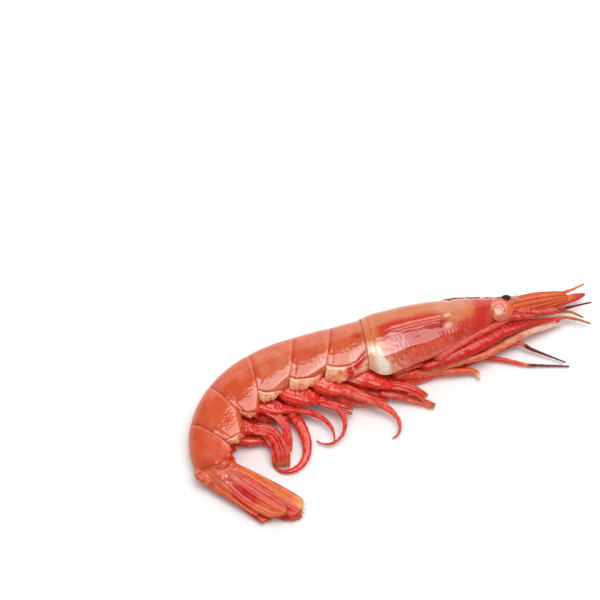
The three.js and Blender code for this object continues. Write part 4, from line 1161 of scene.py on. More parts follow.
for order, (name, shape) in enumerate(FAN.items()):
    points, s, x = leaf_grid(**shape)
    paint = fan_paint(points, s, x, *FAN_COLORS[name])
    if name == "uropod_endopod_right":
        outer = ease(s + 0.06 * waves(points, 2.5, 79), 0.52, 0.74) * (1 - ease(x, 0.1, 0.4))
        paint = blend(paint, SCALE_TONE, 0.75 * outer)
    for places, width, color, amount in FAN_LINES[name]:
        broken = amount * (0.25 + 0.75 * ease(waves(points, 2.6, 73 + len(places)), -0.6, 0.5))
        paint = stripes(paint, x + 0.07 * waves(points, 5.0, 34), places, width, color, broken)
    if name == "uropod_endopod_right":
        rooted = 1 - ease(s + 0.08 * waves(points, 2.5, 77), 0.12, 0.42)
        paint = blend(paint, FAN_PALE, 0.75 * rooted * (0.6 + 0.4 * waves(points, 1.2, 78)))
    if name == "uropod_exopod_right":
        paint = blend(paint, FAN_DEEP, 0.95 * ease(s - 0.5 * x, 0.72, 0.95) * (1 - ease(x, 0.1, 0.5)))
    ground = ROOT_RED if name == "telson" else FAN_PINK
    lumps = [lump_piece(lump, ground, order, k) for k, lump in enumerate(FAN_LUMPS.get(name, []))]
    fringe_color = FRINGE_YELLOW if name == "uropod_exopod_right" else SCALE_TONE
    fringe = [] if name == "telson" else [fan_fringe(points, shape, fringe_color)]
    add_piece(f"fan_{name}", [(keep_above(points), paint), *lumps], fan_finish, [name], fringe)

# %% [markdown]
# Legs, swimming legs and feelers are all tapering rods. A rod is a round or flattened section
# carried along a smooth path, with low ribs along it, a slight waist at each joint and a round
# end. The path is a chain of straight stretches with its corners rounded off.

# %% Rods along a path
JOINTED_BELOW = 14
WHIP_RING = 0.7


def chain(root, stretches):
    """Corner points of a chain: each stretch has a length, a heading and a climb."""
    steps = np.array(stretches, float)
    h, c = np.radians(steps[:, 1]), np.radians(steps[:, 2])
    level = steps[:, 0] * np.cos(c)
    moves = np.stack([level * np.cos(h), level * np.sin(h), steps[:, 0] * np.sin(c)], -1)
    return np.concatenate([[root], np.array(root) + np.cumsum(moves, 0)])


def curl(start, low, length, heading, turn, power, steps=60):
    """A curl: the heading turns by a power of the way travelled, and the height sinks evenly."""
    s = (np.arange(steps) + 0.5) / steps
    angle = np.radians(heading + turn * s**power)
    moves = np.stack([np.cos(angle), np.sin(angle)], -1) * length / steps
    flat = np.concatenate([[start[:2]], np.array(start[:2]) + np.cumsum(moves, 0)])
    return np.concatenate([flat, np.linspace(start[2], low, steps + 1)[:, None]], 1)


def smooth_path(corners, spacing=0.25, soften=0.9):
    """The chain at even spacing, with its corners rounded by a moving bell-curve mean."""
    run = np.concatenate([[0], np.cumsum(np.linalg.norm(np.diff(corners, axis=0), axis=1))])
    count = max(12, int(run[-1] / spacing))
    at = np.linspace(0, run[-1], count)
    path = np.stack([np.interp(at, run, corners[:, k]) for k in range(3)], -1)
    reach = int(3 * soften / spacing)
    kernel = np.exp(-((np.arange(-reach, reach + 1) * spacing / soften) ** 2))
    kernel /= kernel.sum()
    before, after = np.repeat(path[:1], reach, 0), np.repeat(path[-1:], reach, 0)
    if count > reach + 1:
        before = 2 * path[0] - path[1 : reach + 1][::-1]
        after = 2 * path[-1] - path[-reach - 1 : -1][::-1]
    padded = np.concatenate([before, path, after])
    smooth = np.stack([np.convolve(padded[:, k], kernel, "valid") for k in range(3)], -1)
    return smooth, at, run


def rod_grid(
        corners, widths, heights=None, around=20, ribs=0.0, rib_count=4, waist=0.12, rings=0.0,
        soften=0.9, power=1.0, blunt=2.5):
    """Section carried along the path; ribs run along it, rings go round it, joints have a waist.

    A path of many corners is a drawn curve, not a chain of joints, so it gets no waists.
    """
    path, at, run = smooth_path(np.asarray(corners, float), soften=soften)
    heights = widths if heights is None else heights
    along = np.gradient(path, axis=0)
    along /= np.linalg.norm(along, axis=1, keepdims=True)
    across = np.stack([-along[:, 1], along[:, 0], np.zeros(len(path))], -1)
    across /= np.linalg.norm(across, axis=1, keepdims=True)
    upright = np.cross(along, across)
    s = at / at[-1]
    wide = smooth_table(s, np.linspace(0, 1, len(widths)), np.array(widths) / 2, 0.04)
    high = smooth_table(s, np.linspace(0, 1, len(heights)), np.array(heights) / 2, 0.04)
    pinch = np.ones(len(at))
    for joint in run[1:-1] if len(run) < JOINTED_BELOW else []:
        pinch = pinch - waist * bump_at(at, joint, 0.55) + waist * 0.6 * bump_at(at, joint - 1.1, 0.7)
    ends = np.sqrt(np.clip(at / (wide[0] * 1.2), 0.03, 1))
    ends = ends * np.sqrt(np.clip((at[-1] - at) / (wide[-1] * blunt), 0.03, 1))
    turn = np.linspace(0, 2 * np.pi, around, endpoint=False)
    around_it = rings * np.sin(at * 2 * np.pi / WHIP_RING)[:, None]
    swell = 1 + ribs * np.cos(rib_count * turn)[None] + around_it
    scale = (pinch * ends)[:, None] * swell
    x = np.sign(np.cos(turn)) * np.abs(np.cos(turn)) ** power
    y = np.sign(np.sin(turn)) * np.abs(np.sin(turn)) ** power
    points = path[:, None] + (wide[:, None] * scale * x[None])[..., None] * across[:, None]
    points = points + (high[:, None] * scale * y[None])[..., None] * upright[:, None]
    return points, np.broadcast_to(s[:, None], scale.shape), np.broadcast_to(np.sin(turn)[None], scale.shape)


trial = rod_grid(chain([0, 0, 0], [[10, 0, 0], [8, 30, 0]]), [2, 1])[0]
print("a rod of two stretches:", trial.shape[0], "rows of", trial.shape[1], "points")

# %% [markdown]
# Some branches are bundles of thin strands that lie side by side, and some limbs are hairy. Both
# are laid along a rod's path: a strand is a thin rod moved sideways, a bristle a spike that leans
# to the tip. Each takes its small differences from a seed, so every run makes the same ones.

# %% Strands and bristles on rods
def strands(corners, count, reach, widths, seed):
    """Thin rods side by side along one path, each swaying and lifted a little on its own."""
    draw = np.random.default_rng(seed)
    path = smooth_path(np.asarray(corners, float), spacing=0.8)[0]
    along = np.gradient(path, axis=0)
    across = np.stack([-along[:, 1], along[:, 0], np.zeros(len(path))], -1)
    across /= np.linalg.norm(across, axis=1, keepdims=True)
    s = np.linspace(0, 1, len(path))[:, None]
    rods = []
    for offset in np.linspace(-reach, reach, count):
        sway = offset * (0.75 + 0.25 * s) + 0.3 * draw.normal() * np.sin(np.pi * s)
        lift = np.array([0.0, 0.0, 0.4 * draw.normal()])
        strand = path + across * sway + lift
        rods.append(rod_grid(strand, widths, around=12, ribs=0.08, rib_count=3, blunt=1.2))
    return rods


def rod_bristles(points, count, length, low, high, lean, radius, paint, seed, over=False):
    """Bristles on a rod's two edges, or all over its top, leaning to its tip."""
    draw = np.random.default_rng(seed)
    middle = points.mean(1)
    along = np.gradient(middle, axis=0)
    along /= np.linalg.norm(along, axis=1, keepdims=True)
    row = (draw.uniform(low, high, count) * (len(points) - 1)).astype(int)
    around = points.shape[1]
    column = np.where(draw.random(count) < 0.5, 0, around // 2) + draw.integers(-1, 2, count)
    if over:
        column = draw.integers(-2, around // 2 + 3, count)
    roots = points[row, column % around]
    outward = roots - middle[row]
    outward /= np.maximum(np.linalg.norm(outward, axis=1, keepdims=True), 1e-6)
    heading = outward * (1 - lean) + along[row] * lean + draw.normal(0, 0.12, (count, 3))
    tips = roots + heading * (length * draw.uniform(0.6, 1.2, count))[:, None]
    return spikes(roots, tips, radius, paint)


# %% [markdown]
# Five pairs of swimming legs hang under the tail. Each has a stout ribbed base, a long flat whip
# that curls round at its end, and a shorter branch inside it. They are the deepest red of the
# whole animal, with a fringe of fine bristles.

# %% The table of the swimming legs
PLEOPODS = {
    "pleopod_1_right": dict(
        base=chain([-15.4, 11.5, 10], [[4, -70, 0], [6.7, -14, -3], [8, -18, -8]]),
        whip=dict(start=[-3.5, 4.4, 8.0], low=4.6, length=15.4, heading=10, turn=-50, power=1.22),
        bundle=(4, 1.3), base_widths=[4.6, 6.2, 6.6, 6.2], base_heights=[3.2, 4.4, 4.4, 3.4],
        short_from=[-4.5, 3.0, 6.6], short=[[5, -4, -14], [5, -8, -12]], tone=1),
    "pleopod_2_right": dict(
        base=chain([-25.8, 9.2, 10.5], [[4, -75, 0], [11.5, -19, -8]]),
        whip=dict(start=[-15.8, 2.6, 9.2], low=1, length=27.2, heading=-16, turn=-163, power=4),
        whip_widths=[4.6, 4.4, 3.7, 2.7, 1.7, 1.1, 0.4],
        base_widths=[4.8, 7.2, 7.8, 5.4], base_heights=[3.6, 5.0, 4.6, 2.8], tone=3,
        short=[[7, -14, -12], [5, -16, -14]]),
    "pleopod_3_right": dict(
        base=chain([-36.2, 5.2, 10], [[4, -70, 0], [12.2, -12, -10]]),
        whip=dict(start=[-24.9, -0.6, 8.2], low=0.8, length=26.4, heading=-2, turn=-228, power=1.37),
        whip_widths=[3.6, 2.6, 2.0, 1.7, 1.3, 1.0, 0.7, 0.3],
        base_widths=[4.8, 6.8, 7.2, 4.6], base_heights=[3.6, 4.8, 4.4, 2.6],
        short=[[7, -12, -14], [5, -14, -14]]),
    "pleopod_4_right": dict(
        base=chain([-44.6, 0.6, 9], [[3.6, -65, 0], [10.2, -8, -12]]),
        whip=dict(start=[-34.9, -3.6, 7.3], low=1.5, length=21.2, heading=1, turn=-104, power=2.13),
        whip_widths=[3.4, 2.4, 2.0, 1.7, 1.0, 0.35],
        short_from=[-42.7, -4, 8], short_count=3,
        short=[[5.3, -21, -9], [4.9, -51, -17], [4.6, -81, -20], [3.2, -96, -22]]),
    "pleopod_5_right": dict(
        base=chain([-52.2, -7.6, 8], [[3.2, -50, 0], [7.6, -5, -8]]), base_widths=[4.2, 5.6, 5.6, 4.8],
        whip=dict(start=[-43.7, -10.6, 7.2], low=2, length=15.8, heading=36, turn=-136, power=0.52),
        bundle=(7, 1.9), short=[[4, -22, -16], [5, -60, -18], [5, -88, -16]]),
    "pleopod_1_left": dict(
        base=chain([-15.2, 9.2, 5.6], [[4, -75, -8], [8.4, -17, -4]]),
        whip=dict(start=[-7.2, 3.8, 4.7], low=1.4, length=21.8, heading=-7, turn=-22, power=4),
        bundle=(3, 0.8), base_widths=[4.6, 7.4, 8.0, 7.0], base_heights=[3.4, 4.4, 4.4, 3.8],
        short_from=[-5.6, 4.6, 5.4], short=[[6, -4, -8], [5, -8, -8]], tone=2),
    "pleopod_2_left": dict(
        base=chain([-25.8, 9.4, 5.4], [[4, -75, -4], [9.8, -12, -2]]),
        whip=dict(start=[-20, 3.4, 5.0], low=2.4, length=19, heading=-5, turn=-2, power=1),
        base_widths=[4.6, 7.6, 8.6, 8.6], base_heights=[3.4, 4.4, 4.4, 3.8],
        whip_widths=[7.0, 7.6, 7.4, 6.4, 4.0, 1.4], whip_heights=[3.6, 4.0, 3.6, 2.6, 1.4],
        short=[[6, 2, -2], [6, 0, -3]], tone=2),
    "pleopod_3_left": dict(
        base=chain([-36.6, 6.8, 5.0], [[4, -75, -4], [10.2, 4, -2]]),
        whip=dict(start=[-29, 3.4, 4.4], low=2.2, length=15, heading=-3, turn=-4, power=1),
        base_widths=[4.4, 7.2, 8.0, 7.8], base_heights=[3.4, 4.2, 4.2, 3.8],
        whip_widths=[6.8, 7.0, 6.4, 5.0, 3.0, 1.2], whip_heights=[3.4, 3.8, 3.4, 2.4, 1.4],
        short=[[6, 2, -4], [4, 0, -2]], tone=2),
    "pleopod_4_left": dict(
        base=chain([-44, -0.6, 4.4], [[3.6, -70, -6], [11, -5, -2]]),
        whip=dict(start=[-33.3, -3.4, 3.7], low=0.8, length=30.8, heading=-54, turn=-200, power=2.01),
        whip_widths=[4.2, 3.8, 3.1, 2.3, 1.4, 0.5],
        short_from=[-34.2, -2.6, 5.6], short=[[3.6, -60, -22], [3.6, -62, -24]], short_width=3.2),
    "pleopod_5_left": dict(
        base=chain([-52, -9.4, 3.8], [[3.2, -50, -4], [9.6, -5, 0]]),
        whip=dict(start=[-42, -12.6, 3.2], low=1.7, length=10.6, heading=-10, turn=-78, power=0.6),
        short=[[4, -40, -6], [4, -66, -4]]),
}
BASE_WIDTHS = [4.8, 5.8, 5.4, 4.4]
BASE_HEIGHTS = [2.8, 3.2, 2.8, 2.2]
WHIP_WIDTHS = [2.8, 3.0, 2.6, 2.0, 1.3, 0.5]
WHIP_HEIGHTS = [1.8, 1.8, 1.5, 1.2, 0.6]
STRAND_WIDTHS = [1.3, 1.4, 1.4, 1.3, 1.1, 0.7]


print("swimming legs:", len(PLEOPODS))

# %% [markdown]
# Wet red limbs glow where light comes through them, and carry thin pale streaks of gloss along
# their tops. Both are painted: the glow on their lower half, which in shade would turn nearly
# black, as painted light, and the streaks, which follow the turn round the rod, as painted
# highlights.

# %% The colours of the limbs
def limb_paint(points, s, up, base, light, tip, seed, streak=0.0, tip_from=0.78):
    """A limb's colours: clouds of a lighter tone, a painted glow below, painted highlight streaks along its
    top, another colour at its tip.
    """
    cloud, fine = waves(points, 3.0, seed), waves(points, 1.1, seed + 300)
    broken = ease(cloud + 0.6 * fine, -0.7, 0.2) * ease(s, 0.03, 0.12) * (1 - ease(s, 0.70, 0.92))
    return coats(
        np.broadcast_to(base, points.shape),
        (light, 0.5 * ease(cloud + 0.5 * fine, 0.1, 1.1)),
        (LEG_ORANGE, 0.6 * ease(fine - 0.5 * cloud, 0.5, 1.2)),
        # Painted light on the lower half, which lies in shade
        (PAINTED_GLOW_RED, 0.55 * (1 - ease(up, -0.35, 0.30))),
        (LIMB_EDGE, 0.30 * ease(-fine - 0.6 * cloud, 0.5, 1.3)),
        (LIMB_EDGE, 0.6 * streak * bump_at(up, 0.40, 0.25) * ease(fine, -0.7, 0.4)),
        # Painted highlights: pale streaks along the top
        (PAINTED_HIGHLIGHT_PINK, 1.3 * streak * bump_at(up, 0.88, 0.07) * broken),
        (tip, 0.8 * ease(s + 0.05 * cloud, tip_from, 1.0)))


# Base and lighter tone of each swimming leg. The third and fourth are painted light: lit reds for the left
# legs and the second right base, which lie in shade.
LIMB_TONES = [
    (LIMB_RED, LIMB_PINK), (LIMB_RED, LEG_ORANGE), (PAINTED_GLOW_RED, PAINTED_GLOW_PINK), (LIMB_WARM, PAINTED_GLOW_PINK)]


print("tones of the swimming legs:", len(LIMB_TONES))

# %% [markdown]
# A swimming leg is put together from its parts: a stout base, an outer branch and a shorter inner
# one. Each part is a function of its own, so a single rule can make all ten legs from the table.

# %% The finished swimming legs
def pleopod_base(name, shape, tone, order):
    """The stout base: a rounded bar with nine low ribs, painted light at its root, in the plates' shade."""
    base, s, up = rod_grid(
        shape["base"], shape.get("base_widths", BASE_WIDTHS), shape.get("base_heights", BASE_HEIGHTS),
        around=56, ribs=0.05, rib_count=9, waist=0.0, blunt=3.0, power=0.68)
    base = uneven(base, 600 + order, 0.20, 0.13)
    paint = limb_paint(base, s, up, *tone, tone[0], 81 + order, 0.8)
    # Painted light: the root, in the shade of the side plates, is painted a lit red
    paint = blend(paint, PAINTED_GLOW_RED, 0.6 * (1 - ease(s, 0.25, 0.55)))
    # Painted highlight: a pale streak on the top of the first right base's root
    if name == "pleopod_1_right":
        paint = blend(paint, LEG_END, 0.8 * bump_at(up, 0.55, 0.3) * (1 - ease(s, 0.2, 0.5)))
    return keep_above(base), paint


def pleopod_whips(shape, order):
    """The outer branch: one flat whip, or a bundle of thin strands along the same curl."""
    knee, end = shape["base"][-2:]
    curve = np.concatenate([[end - 0.45 * (end - knee)], curl(**shape["whip"])[2:]])
    if "bundle" in shape:
        return strands(curve, *shape["bundle"], STRAND_WIDTHS, 620 + order)
    whip, s, up = rod_grid(
        curve, shape.get("whip_widths", WHIP_WIDTHS), shape.get("whip_heights", WHIP_HEIGHTS),
        around=28, ribs=0.06, rib_count=7, rings=0.012)
    return [(uneven(whip, 610 + order, 0.06, 0.05), s, up)]


def pleopod_inners(shape, order):
    """The shorter inner branch: one rod where its width is given, otherwise a few strands."""
    root = shape.get("short_from", shape["base"][-1] + [-1.4, 0.2, -0.3])
    path = chain(root, shape["short"])
    if "short_width" in shape:
        widths = [shape["short_width"] * k for k in (0.8, 1, 1, 0.5)]
        return [rod_grid(path, widths, around=24, ribs=0.08)]
    return strands(path, shape.get("short_count", 4), 1.1, STRAND_WIDTHS, 640 + order)


for order, (name, shape) in enumerate(PLEOPODS.items()):
    tone = LIMB_TONES[shape.get("tone", 0)]
    grids = [pleopod_base(name, shape, tone, order)]
    whips = pleopod_whips(shape, order)
    for k, (rod, s, up) in enumerate(whips + pleopod_inners(shape, order)):
        paint = limb_paint(rod, s, up, *tone, FEELER_ORANGE, 91 + order + 20 * k, 0.6)
        grids.append((keep_above(rod), paint))
    fringe = rod_bristles(whips[0][0], 120, 1.0, 0.1, 0.8, 0.8, 0.04, LIMB_RED, 111 + order)
    add_piece(f"limb_{name}", grids, limb_finish, [name], [fringe])

# %% [markdown]
# The walking legs lie bundled forward under the head, with the broad mouth feet among them. They
# differ in colour: the mouth feet are deep red and bristly, the first legs are pink, the others
# pale orange, and the broken thin ends are dark.

# %% The table of the walking legs
LEGS = {
    "maxilliped_right": dict(
        root=[8.2, 17, 9], widths=[2.6, 3.8, 5.0, 5.4, 5.0, 3.6, 2.0, 0.6], flat=0.6,
        path=[[6.4, -66, -4], [10.7, 21, 5], [9.5, 27, 0], [8.1, 31, -4], [7.4, 21, -8], [11.6, 15, -7],
              [2.6, -20, -11]],
        colors=(LIMB_DARK, LIMB_RED, LIMB_RED), bristles=900),
    "leg_1_right": dict(
        root=[12.6, 17.6, 11], widths=[2.2, 2.4, 2.4, 2.3, 2.1, 1.7, 0.9],
        path=[[5.4, -66, 4], [7.3, 34, 6], [6.4, 32, 0], [6.9, 28, -2], [7.5, 31, -11], [7.4, 8, -12]],
        colors=(LIMB_PINK, LIMB_RED, LIMB_RED)),
    "leg_2_right": dict(
        root=[10.4, 15.8, 7.6], widths=[2.4, 2.5, 2.5, 2.5, 2.4, 2.5, 2.3, 0.9],
        path=[[5.6, -66, -14], [11, 14, 4], [6.2, 14, 2], [6.4, 27, 0], [7.6, 33, -6], [6.4, 29, -6],
              [5.4, 21, -11], [6.3, 18, -9]],
        colors=(LEG_PALE, LIMB_PINK, LEG_END), tip_from=0.50),
    "leg_5_right": dict(
        root=[-1, 13.6, 8], widths=[2.6, 3.2, 3.4, 2.9, 2.6, 2.2, 1.7],
        path=[[5.8, -66, -18], [8.2, 10, -6], [6.8, 9, -7], [10.9, 4, -8], [2.4, -25, -20],
              [1.9, -83, -18]],
        colors=(LEG_ORANGE, LIMB_PINK, LEG_END), tip_from=0.88, red_until=0.42),
    "leg_4_right": dict(
        root=[-1.4, 13.4, 10.6], widths=[2.2, 2.2, 2, 1.6],
        path=[[5.4, -66, -10], [5.3, 21, -3], [5.7, 19, -7]],
        colors=(LIMB_PINK, LEG_PALE, LIMB_PINK)),
    "leg_3_right": dict(
        root=[8.6, 14.8, 5.6], widths=[2.2, 2.4, 2.4, 2.4, 2.1, 1.5, 0.8, 0.6], dark_from=0.71,
        path=[[5.2, -60, -12], [9.6, 24, 0], [8.6, 18, -3], [7.6, 15, 0], [5.8, 21, 2], [2.4, 6, -5],
              [4, -26, -18], [12.5, -20, -6]],
        colors=(LIMB_RED, LIMB_PINK, FEELER_BROWN)),
    "leg_1_left": dict(
        root=[13.4, 18.4, 5], widths=[2, 2.6, 2.6, 2.4, 1.9, 0.8],
        path=[[5.4, -64, -16], [14.4, 21, 4], [14.7, 22, 0], [6.1, 20, -7], [3.4, 16, -12]],
        colors=(LEG_PALE, LIMB_PINK, FEELER_BROWN)),
    "maxilliped_left": dict(
        root=[9.4, 17.6, 5.4], widths=[2.4, 3.2, 3.8, 3.8, 3.2, 2], flat=0.7,
        path=[[5.4, -64, -10], [10, 22, 4], [10, 26, 0], [8, 28, -3], [6, 22, -6]],
        colors=(LIMB_RED, LIMB_DARK, LIMB_RED), bristles=200),
    "leg_3_left": dict(
        root=[8.4, 13.6, 3.4], widths=[2, 2.2, 2.1, 1.8, 1.3, 0.8, 0.6], dark_from=0.73,
        path=[[4.4, -58, -12], [12.6, 17, 0], [8.6, 21, 0], [6.1, -5, -4], [8.5, -12, -4], [14.5, -1, -2]],
        colors=(LIMB_RED, LIMB_PINK, FEELER_BROWN)),
    "leg_2_left": dict(
        root=[9.6, 17, 3], widths=[1.8, 1.8, 1.6, 1],
        path=[[4.8, -64, -8], [12, 20, -2], [12, 24, -2]],
        colors=(LEG_PALE, LIMB_PINK, LEG_PALE)),
    # The two hindmost left legs lie in shade under the body, so they are painted in the lit reds: painted
    # light
    "leg_4_left": dict(
        root=[-1, 12.8, 4.6], widths=[2.4, 3.1, 3.1, 2.3, 1.2],
        path=[[5.2, -66, -16], [9, 10, -2], [8, 12, -3], [6, 8, -3]],
        colors=(PAINTED_GLOW_RED, PAINTED_GLOW_PINK, LIMB_RED)),
    "leg_5_left": dict(
        root=[-2.6, 13.2, 3.6], widths=[3.2, 4.6, 4.6, 3.6, 1.8],
        path=[[5.6, -70, -12], [8, 8, -2], [9, 12, -2]],
        colors=(PAINTED_GLOW_RED, PAINTED_GLOW_PINK, PAINTED_GLOW_RED)),
}
print("walking legs and mouth feet:", len(LEGS))

# %% [markdown]
# All walking legs are made alike, as one rod each. What sets a leg apart is in its own line of the
# table: a flatter section, a pale or a dark stretch, or bristles. The dark broken end begins with
# a pale ring, as at the joint of a real leg.

# %% The finished walking legs
for order, (name, shape) in enumerate(LEGS.items()):
    widths = np.array(shape["widths"])
    points, s, up = rod_grid(
        chain(shape["root"], shape["path"]), widths, widths * shape.get("flat", 0.95),
        around=24, ribs=0.05, waist=0.02 if "bristles" in shape else 0.10, soften=0.7)
    points = uneven(points, 660 + order, 0.06, 0.05)
    paint = limb_paint(points, s, up, *shape["colors"], 121 + order, 0.5, shape.get("tip_from", 0.78))
    if "red_until" in shape:
        limit = shape["red_until"]
        early = 1 - ease(s + 0.05 * waves(points, 2.0, 131), limit - 0.08, limit + 0.04)
        paint = blend(paint, LIMB_WARM, early * ease(waves(points, 1.4, 132), -0.8, 0.6))
    if "dark_from" in shape:
        limit = shape["dark_from"]
        paint = blend(paint, LEG_PALE, bump_at(s, limit, 0.03))
        paint = blend(paint, FEELER_BROWN, ease(s, limit + 0.005, limit + 0.03))
    hairs = []
    if "bristles" in shape:
        count = shape["bristles"]
        hairs = [rod_bristles(points, count, 1.4, 0.15, 0.9, 0.85, 0.07, LIMB_PINK, 141 + order, True)]
    add_piece(f"limb_{name}", [(keep_above(points), paint)], limb_finish, [name], hairs)

# %% [markdown]
# In front of the carapace stand the eyes on their stalks, and below them the feelers with their
# broad scales. A scale is a leaf with lengthwise grooves, so the fan's own leaf serves again. The
# right one ends in a thin thorn, a short rod.

# %% The scales
SCALE_WIDTHS = [3.6, 6.4, 7.6, 7.8, 7, 5.6, 3.6]
SCALE_THICKNESS = [1.8, 1.4, 1.1, 0.8]
SCALE_RIBS = [(-0.6, 0.16, 0.10), (-0.2, 0.18, 0.10), (0.2, 0.16, 0.10), (0.62, 0.14, 0.10)]

points, s, x = leaf_grid(
    [34.4, 29.6, 11.6], 13.5, -3, 25.4, 42, SCALE_WIDTHS, SCALE_THICKNESS, SCALE_RIBS, bow=0.4)
paint = fan_paint(points, s, x, SCALE_TONE, SCALE_TONE, SCALE_TONE)
paint = stripes(paint, x, [-0.75, -0.4, 0.0, 0.42, 0.97], 0.06, STRIPE_RED, 0.8)
paint = stripes(paint, x, [-0.58, -0.2, 0.2, 0.66], 0.06, LEG_PALE, 0.6)
thorn, s, up = rod_grid(chain([54.6, 35.6, 11.4], [[6, 20, -6], [5.6, 30, -8]]), [1.2, 1, 0.5])
thorn_paint = limb_paint(thorn, s, up, SCALE_TONE, LEG_PALE, FEELER_ORANGE, 151)
grids = [(points, paint), (thorn, thorn_paint)]
add_piece("scale_right_leaf", grids, fan_finish, ["scale_right"])

points, s, x = leaf_grid(
    [34.4, 30.4, 5.6], 15, -1, 32.4, -40, SCALE_WIDTHS, SCALE_THICKNESS, SCALE_RIBS, bow=-0.6)
grids = [(points, fan_paint(points, s, x, FAN_ORANGE, FAN_RED, SICKLE_RED))]
add_piece("scale_left_leaf", grids, fan_finish, ["scale_left"])

# %% [markdown]
# A feeler starts with a few stout joints and goes on as a thin whip of many small rings, broken
# short. Fine waves along the rod stand for the rings. The tone changes where the whip begins.

# %% The feelers
FEELERS = {
    "antenna_right": dict(
        corners=chain(
            [33, 27.2, 11.6],
            [[4, 6, 0], [5.9, 6, -8], [7.2, 10, -12], [5.8, 13, -10], [5, 7, -12], [5, -19, -18]]),
        widths=[3.2, 3, 2.8, 1.8, 1.2, 1, 0.6], tip=FEELER_ORANGE),
    "antennule_right": dict(
        corners=chain([33.6, 31, 11], [[4.4, -7, 0], [8.4, -7, -3], [10.4, 10, -6], [11.4, 17, -8]]),
        widths=[3, 2.8, 2.4, 2, 0.8, 0.6], tip=FEELER_BROWN),
    "antennule_left": dict(
        corners=chain([33.6, 31.6, 6.6], [[5, 8, 0], [9, 13, -3], [9, 14, -5]]),
        widths=[2.8, 2.6, 2, 1.2], tip=LIMB_RED),
    "antenna_left": dict(
        corners=chain(
            [33.6, 27.4, 6],
            [[5, 5, -4], [11.8, 5, -2], [8.7, 10, -3], [4.3, -7, -10], [4.7, -15, -12]]),
        widths=[3, 2.8, 2, 1.3, 1, 0.6], tip=FEELER_ORANGE),
}
for order, (name, shape) in enumerate(FEELERS.items()):
    points, s, up = rod_grid(shape["corners"], shape["widths"], around=18, rings=0.015, waist=0.15)
    # Painted light: the left feelers, hidden in shade, get a lighter red, and every feeler's underside a lit
    # red
    ground = LIMB_WARM if "left" in name else FRONT_RED
    paint = limb_paint(points, s, up, ground, LEG_ORANGE, shape["tip"], 161 + order, 0.5)
    paint = coats(
        paint,
        (PAINTED_GLOW_RED, 0.6 * (1 - ease(up, -0.2, 0.5))),
        (shape["tip"], ease(s, 0.62, 0.75)))
    add_piece(f"feeler_{name}", [(keep_above(points), paint)], limb_finish, [name])

# %% [markdown]
# The eye is a black bead on a pale stalk. Its skin is smooth and wet, so it mirrors the lamp, and
# very finely faceted. Real facets would take too many points, so a cell pattern in the finish
# makes them: it varies the black a little and raises each cell.

# %% The black of the eyes
FACET_SIZE = 0.00022
FACET_RELIEF = 0.00004
EYE_DARK, EYE_LIGHT = (0.012, 0.006, 0.005, 1), (0.035, 0.014, 0.010, 1)

eye_finish = bpy.data.materials.new("black eye")
eye_finish.use_nodes = True
eye_tree = eye_finish.node_tree
eye_shader = eye_tree.nodes["Principled BSDF"]
eye_place = eye_tree.nodes.new("ShaderNodeTexCoord")
facets = add_node(eye_tree, "TexVoronoi", Scale=1 / FACET_SIZE)
eye_tree.links.new(eye_place.outputs["Object"], facets.inputs["Vector"])
eye_tone = eye_tree.nodes.new("ShaderNodeValToRGB")
eye_tone.color_ramp.elements[0].color = EYE_DARK
eye_tone.color_ramp.elements[1].color = EYE_LIGHT
eye_tree.links.new(facets.outputs["Distance"], eye_tone.inputs["Fac"])
eye_tree.links.new(eye_tone.outputs["Color"], eye_shader.inputs["Base Color"])
eye_bump = add_node(eye_tree, "Bump", Strength=0.2, Distance=FACET_RELIEF)
eye_tree.links.new(facets.outputs["Distance"], eye_bump.inputs["Height"])
eye_tree.links.new(eye_bump.outputs["Normal"], eye_shader.inputs["Normal"])
eye_shader.inputs["Roughness"].default_value = 0.25
eye_shader.inputs["IOR"].default_value = 1.25

print("eye facets measure", 1000 * FACET_SIZE, "mm")

# %% [markdown]
# Each stalk and each cornea is a bead, a ball stretched three ways. A pale spiral turns in the red
# of the stalk, as the folds of the real skin do: a sine of the angle minus the distance draws it.
# A tuft of short cream bristles stands beside the right eye.

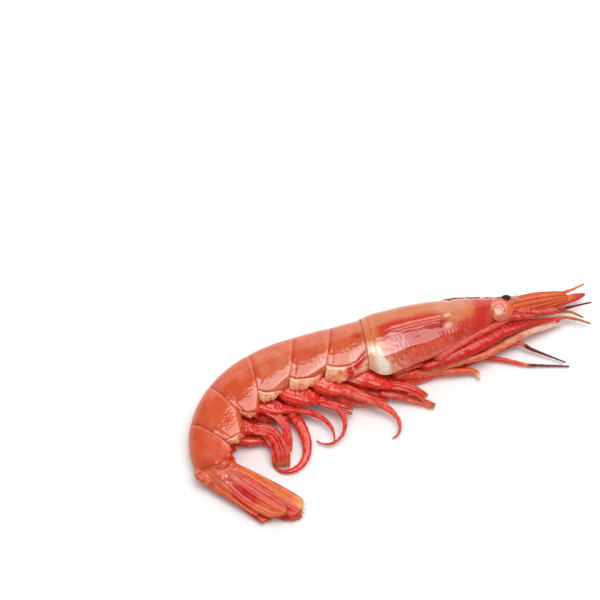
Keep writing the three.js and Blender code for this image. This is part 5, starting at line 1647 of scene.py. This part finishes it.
# %% Stalks, corneas and the tuft
# Centre, radii and heading of each bead
EYES = {
    "right": dict(
        stalk=([35.8, 29.6, 12.4], [4.5, 4.2, 2.5], 24), cornea=([38, 33.2, 12.5], [1.9, 1.8, 1.6], 10)),
    "left": dict(
        stalk=([35.8, 31.6, 4.4], [3, 2.1, 1.9], 30), cornea=([38.6, 33.6, 3.8], [1.9, 1.7, 1.7], 30)),
}
SWIRL_CENTRE = np.array([35.4, 29.0, 0.0])
TUFT_ROOT = np.array([40.9, 32.6, 14.0])
TUFT_COUNT = 40


def stalk_paint(stalk):
    """Pale with red clouds; a spiral of pale curls turns round one point; the end is orange."""
    offset = stalk - SWIRL_CENTRE
    away, angle = np.hypot(offset[..., 0], offset[..., 1]), np.arctan2(offset[..., 1], offset[..., 0])
    swirl = np.sin(3.6 * away - angle + 1.4 * waves(stalk, 2.0, 175))
    curls = ease(swirl, 0.2, 0.9) * ease(away, 0.5, 1.1) * (1 - ease(away, 2.0, 3.0))
    return coats(
        np.broadcast_to(ORBIT_PALE, stalk.shape),
        (FRONT_RED, 0.6 * ease(waves(stalk, 2.0, 172), 0.2, 0.9)),
        (LEG_END, 0.55 * curls),
        (FRONT_RED, 0.5 * ease(-swirl, 0.5, 0.95) * (1 - ease(away, 2.0, 3.2))),
        (FRONT_RED, 0.7 * ease(away + 0.4 * waves(stalk, 1.6, 176), 2.9, 3.9)),
        (SCALE_TONE, 0.9 * ease(stalk[..., 0] + 0.3 * waves(stalk, 1.6, 177), 37.6, 38.4)))


for side, shape in EYES.items():
    stalk = uneven(bead_grid(*shape["stalk"]), 171, 0.22, 0.05)
    grids = [(stalk, stalk_paint(stalk))]
    tuft = []
    if side == "right":
        roots = TUFT_ROOT + rng.normal(0, [0.5, 0.25, 0.15], (TUFT_COUNT, 3))
        tips = roots + [0.4, 1.9, 0.4] + rng.normal(0, 0.35, (TUFT_COUNT, 3))
        tuft = [spikes(roots, tips, 0.12, PLATE_CREAM)]
    add_piece(f"eye_stalk_{side}_bead", grids, head_finish, [f"eye_stalk_{side}"], tuft)
    cornea = bead_grid(*shape["cornea"])
    add_piece(f"eye_{side}_bead", [(cornea, np.zeros(3))], eye_finish, [f"cornea_{side}"])

# %% Sizes and the end
LOOK_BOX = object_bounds()
for label, box in (("solids", CAD_BOX), ("looks", LOOK_BOX)):
    print(label, [round(1000 * (b - a), 1) for a, b in zip(box[0], box[1])], "mm")
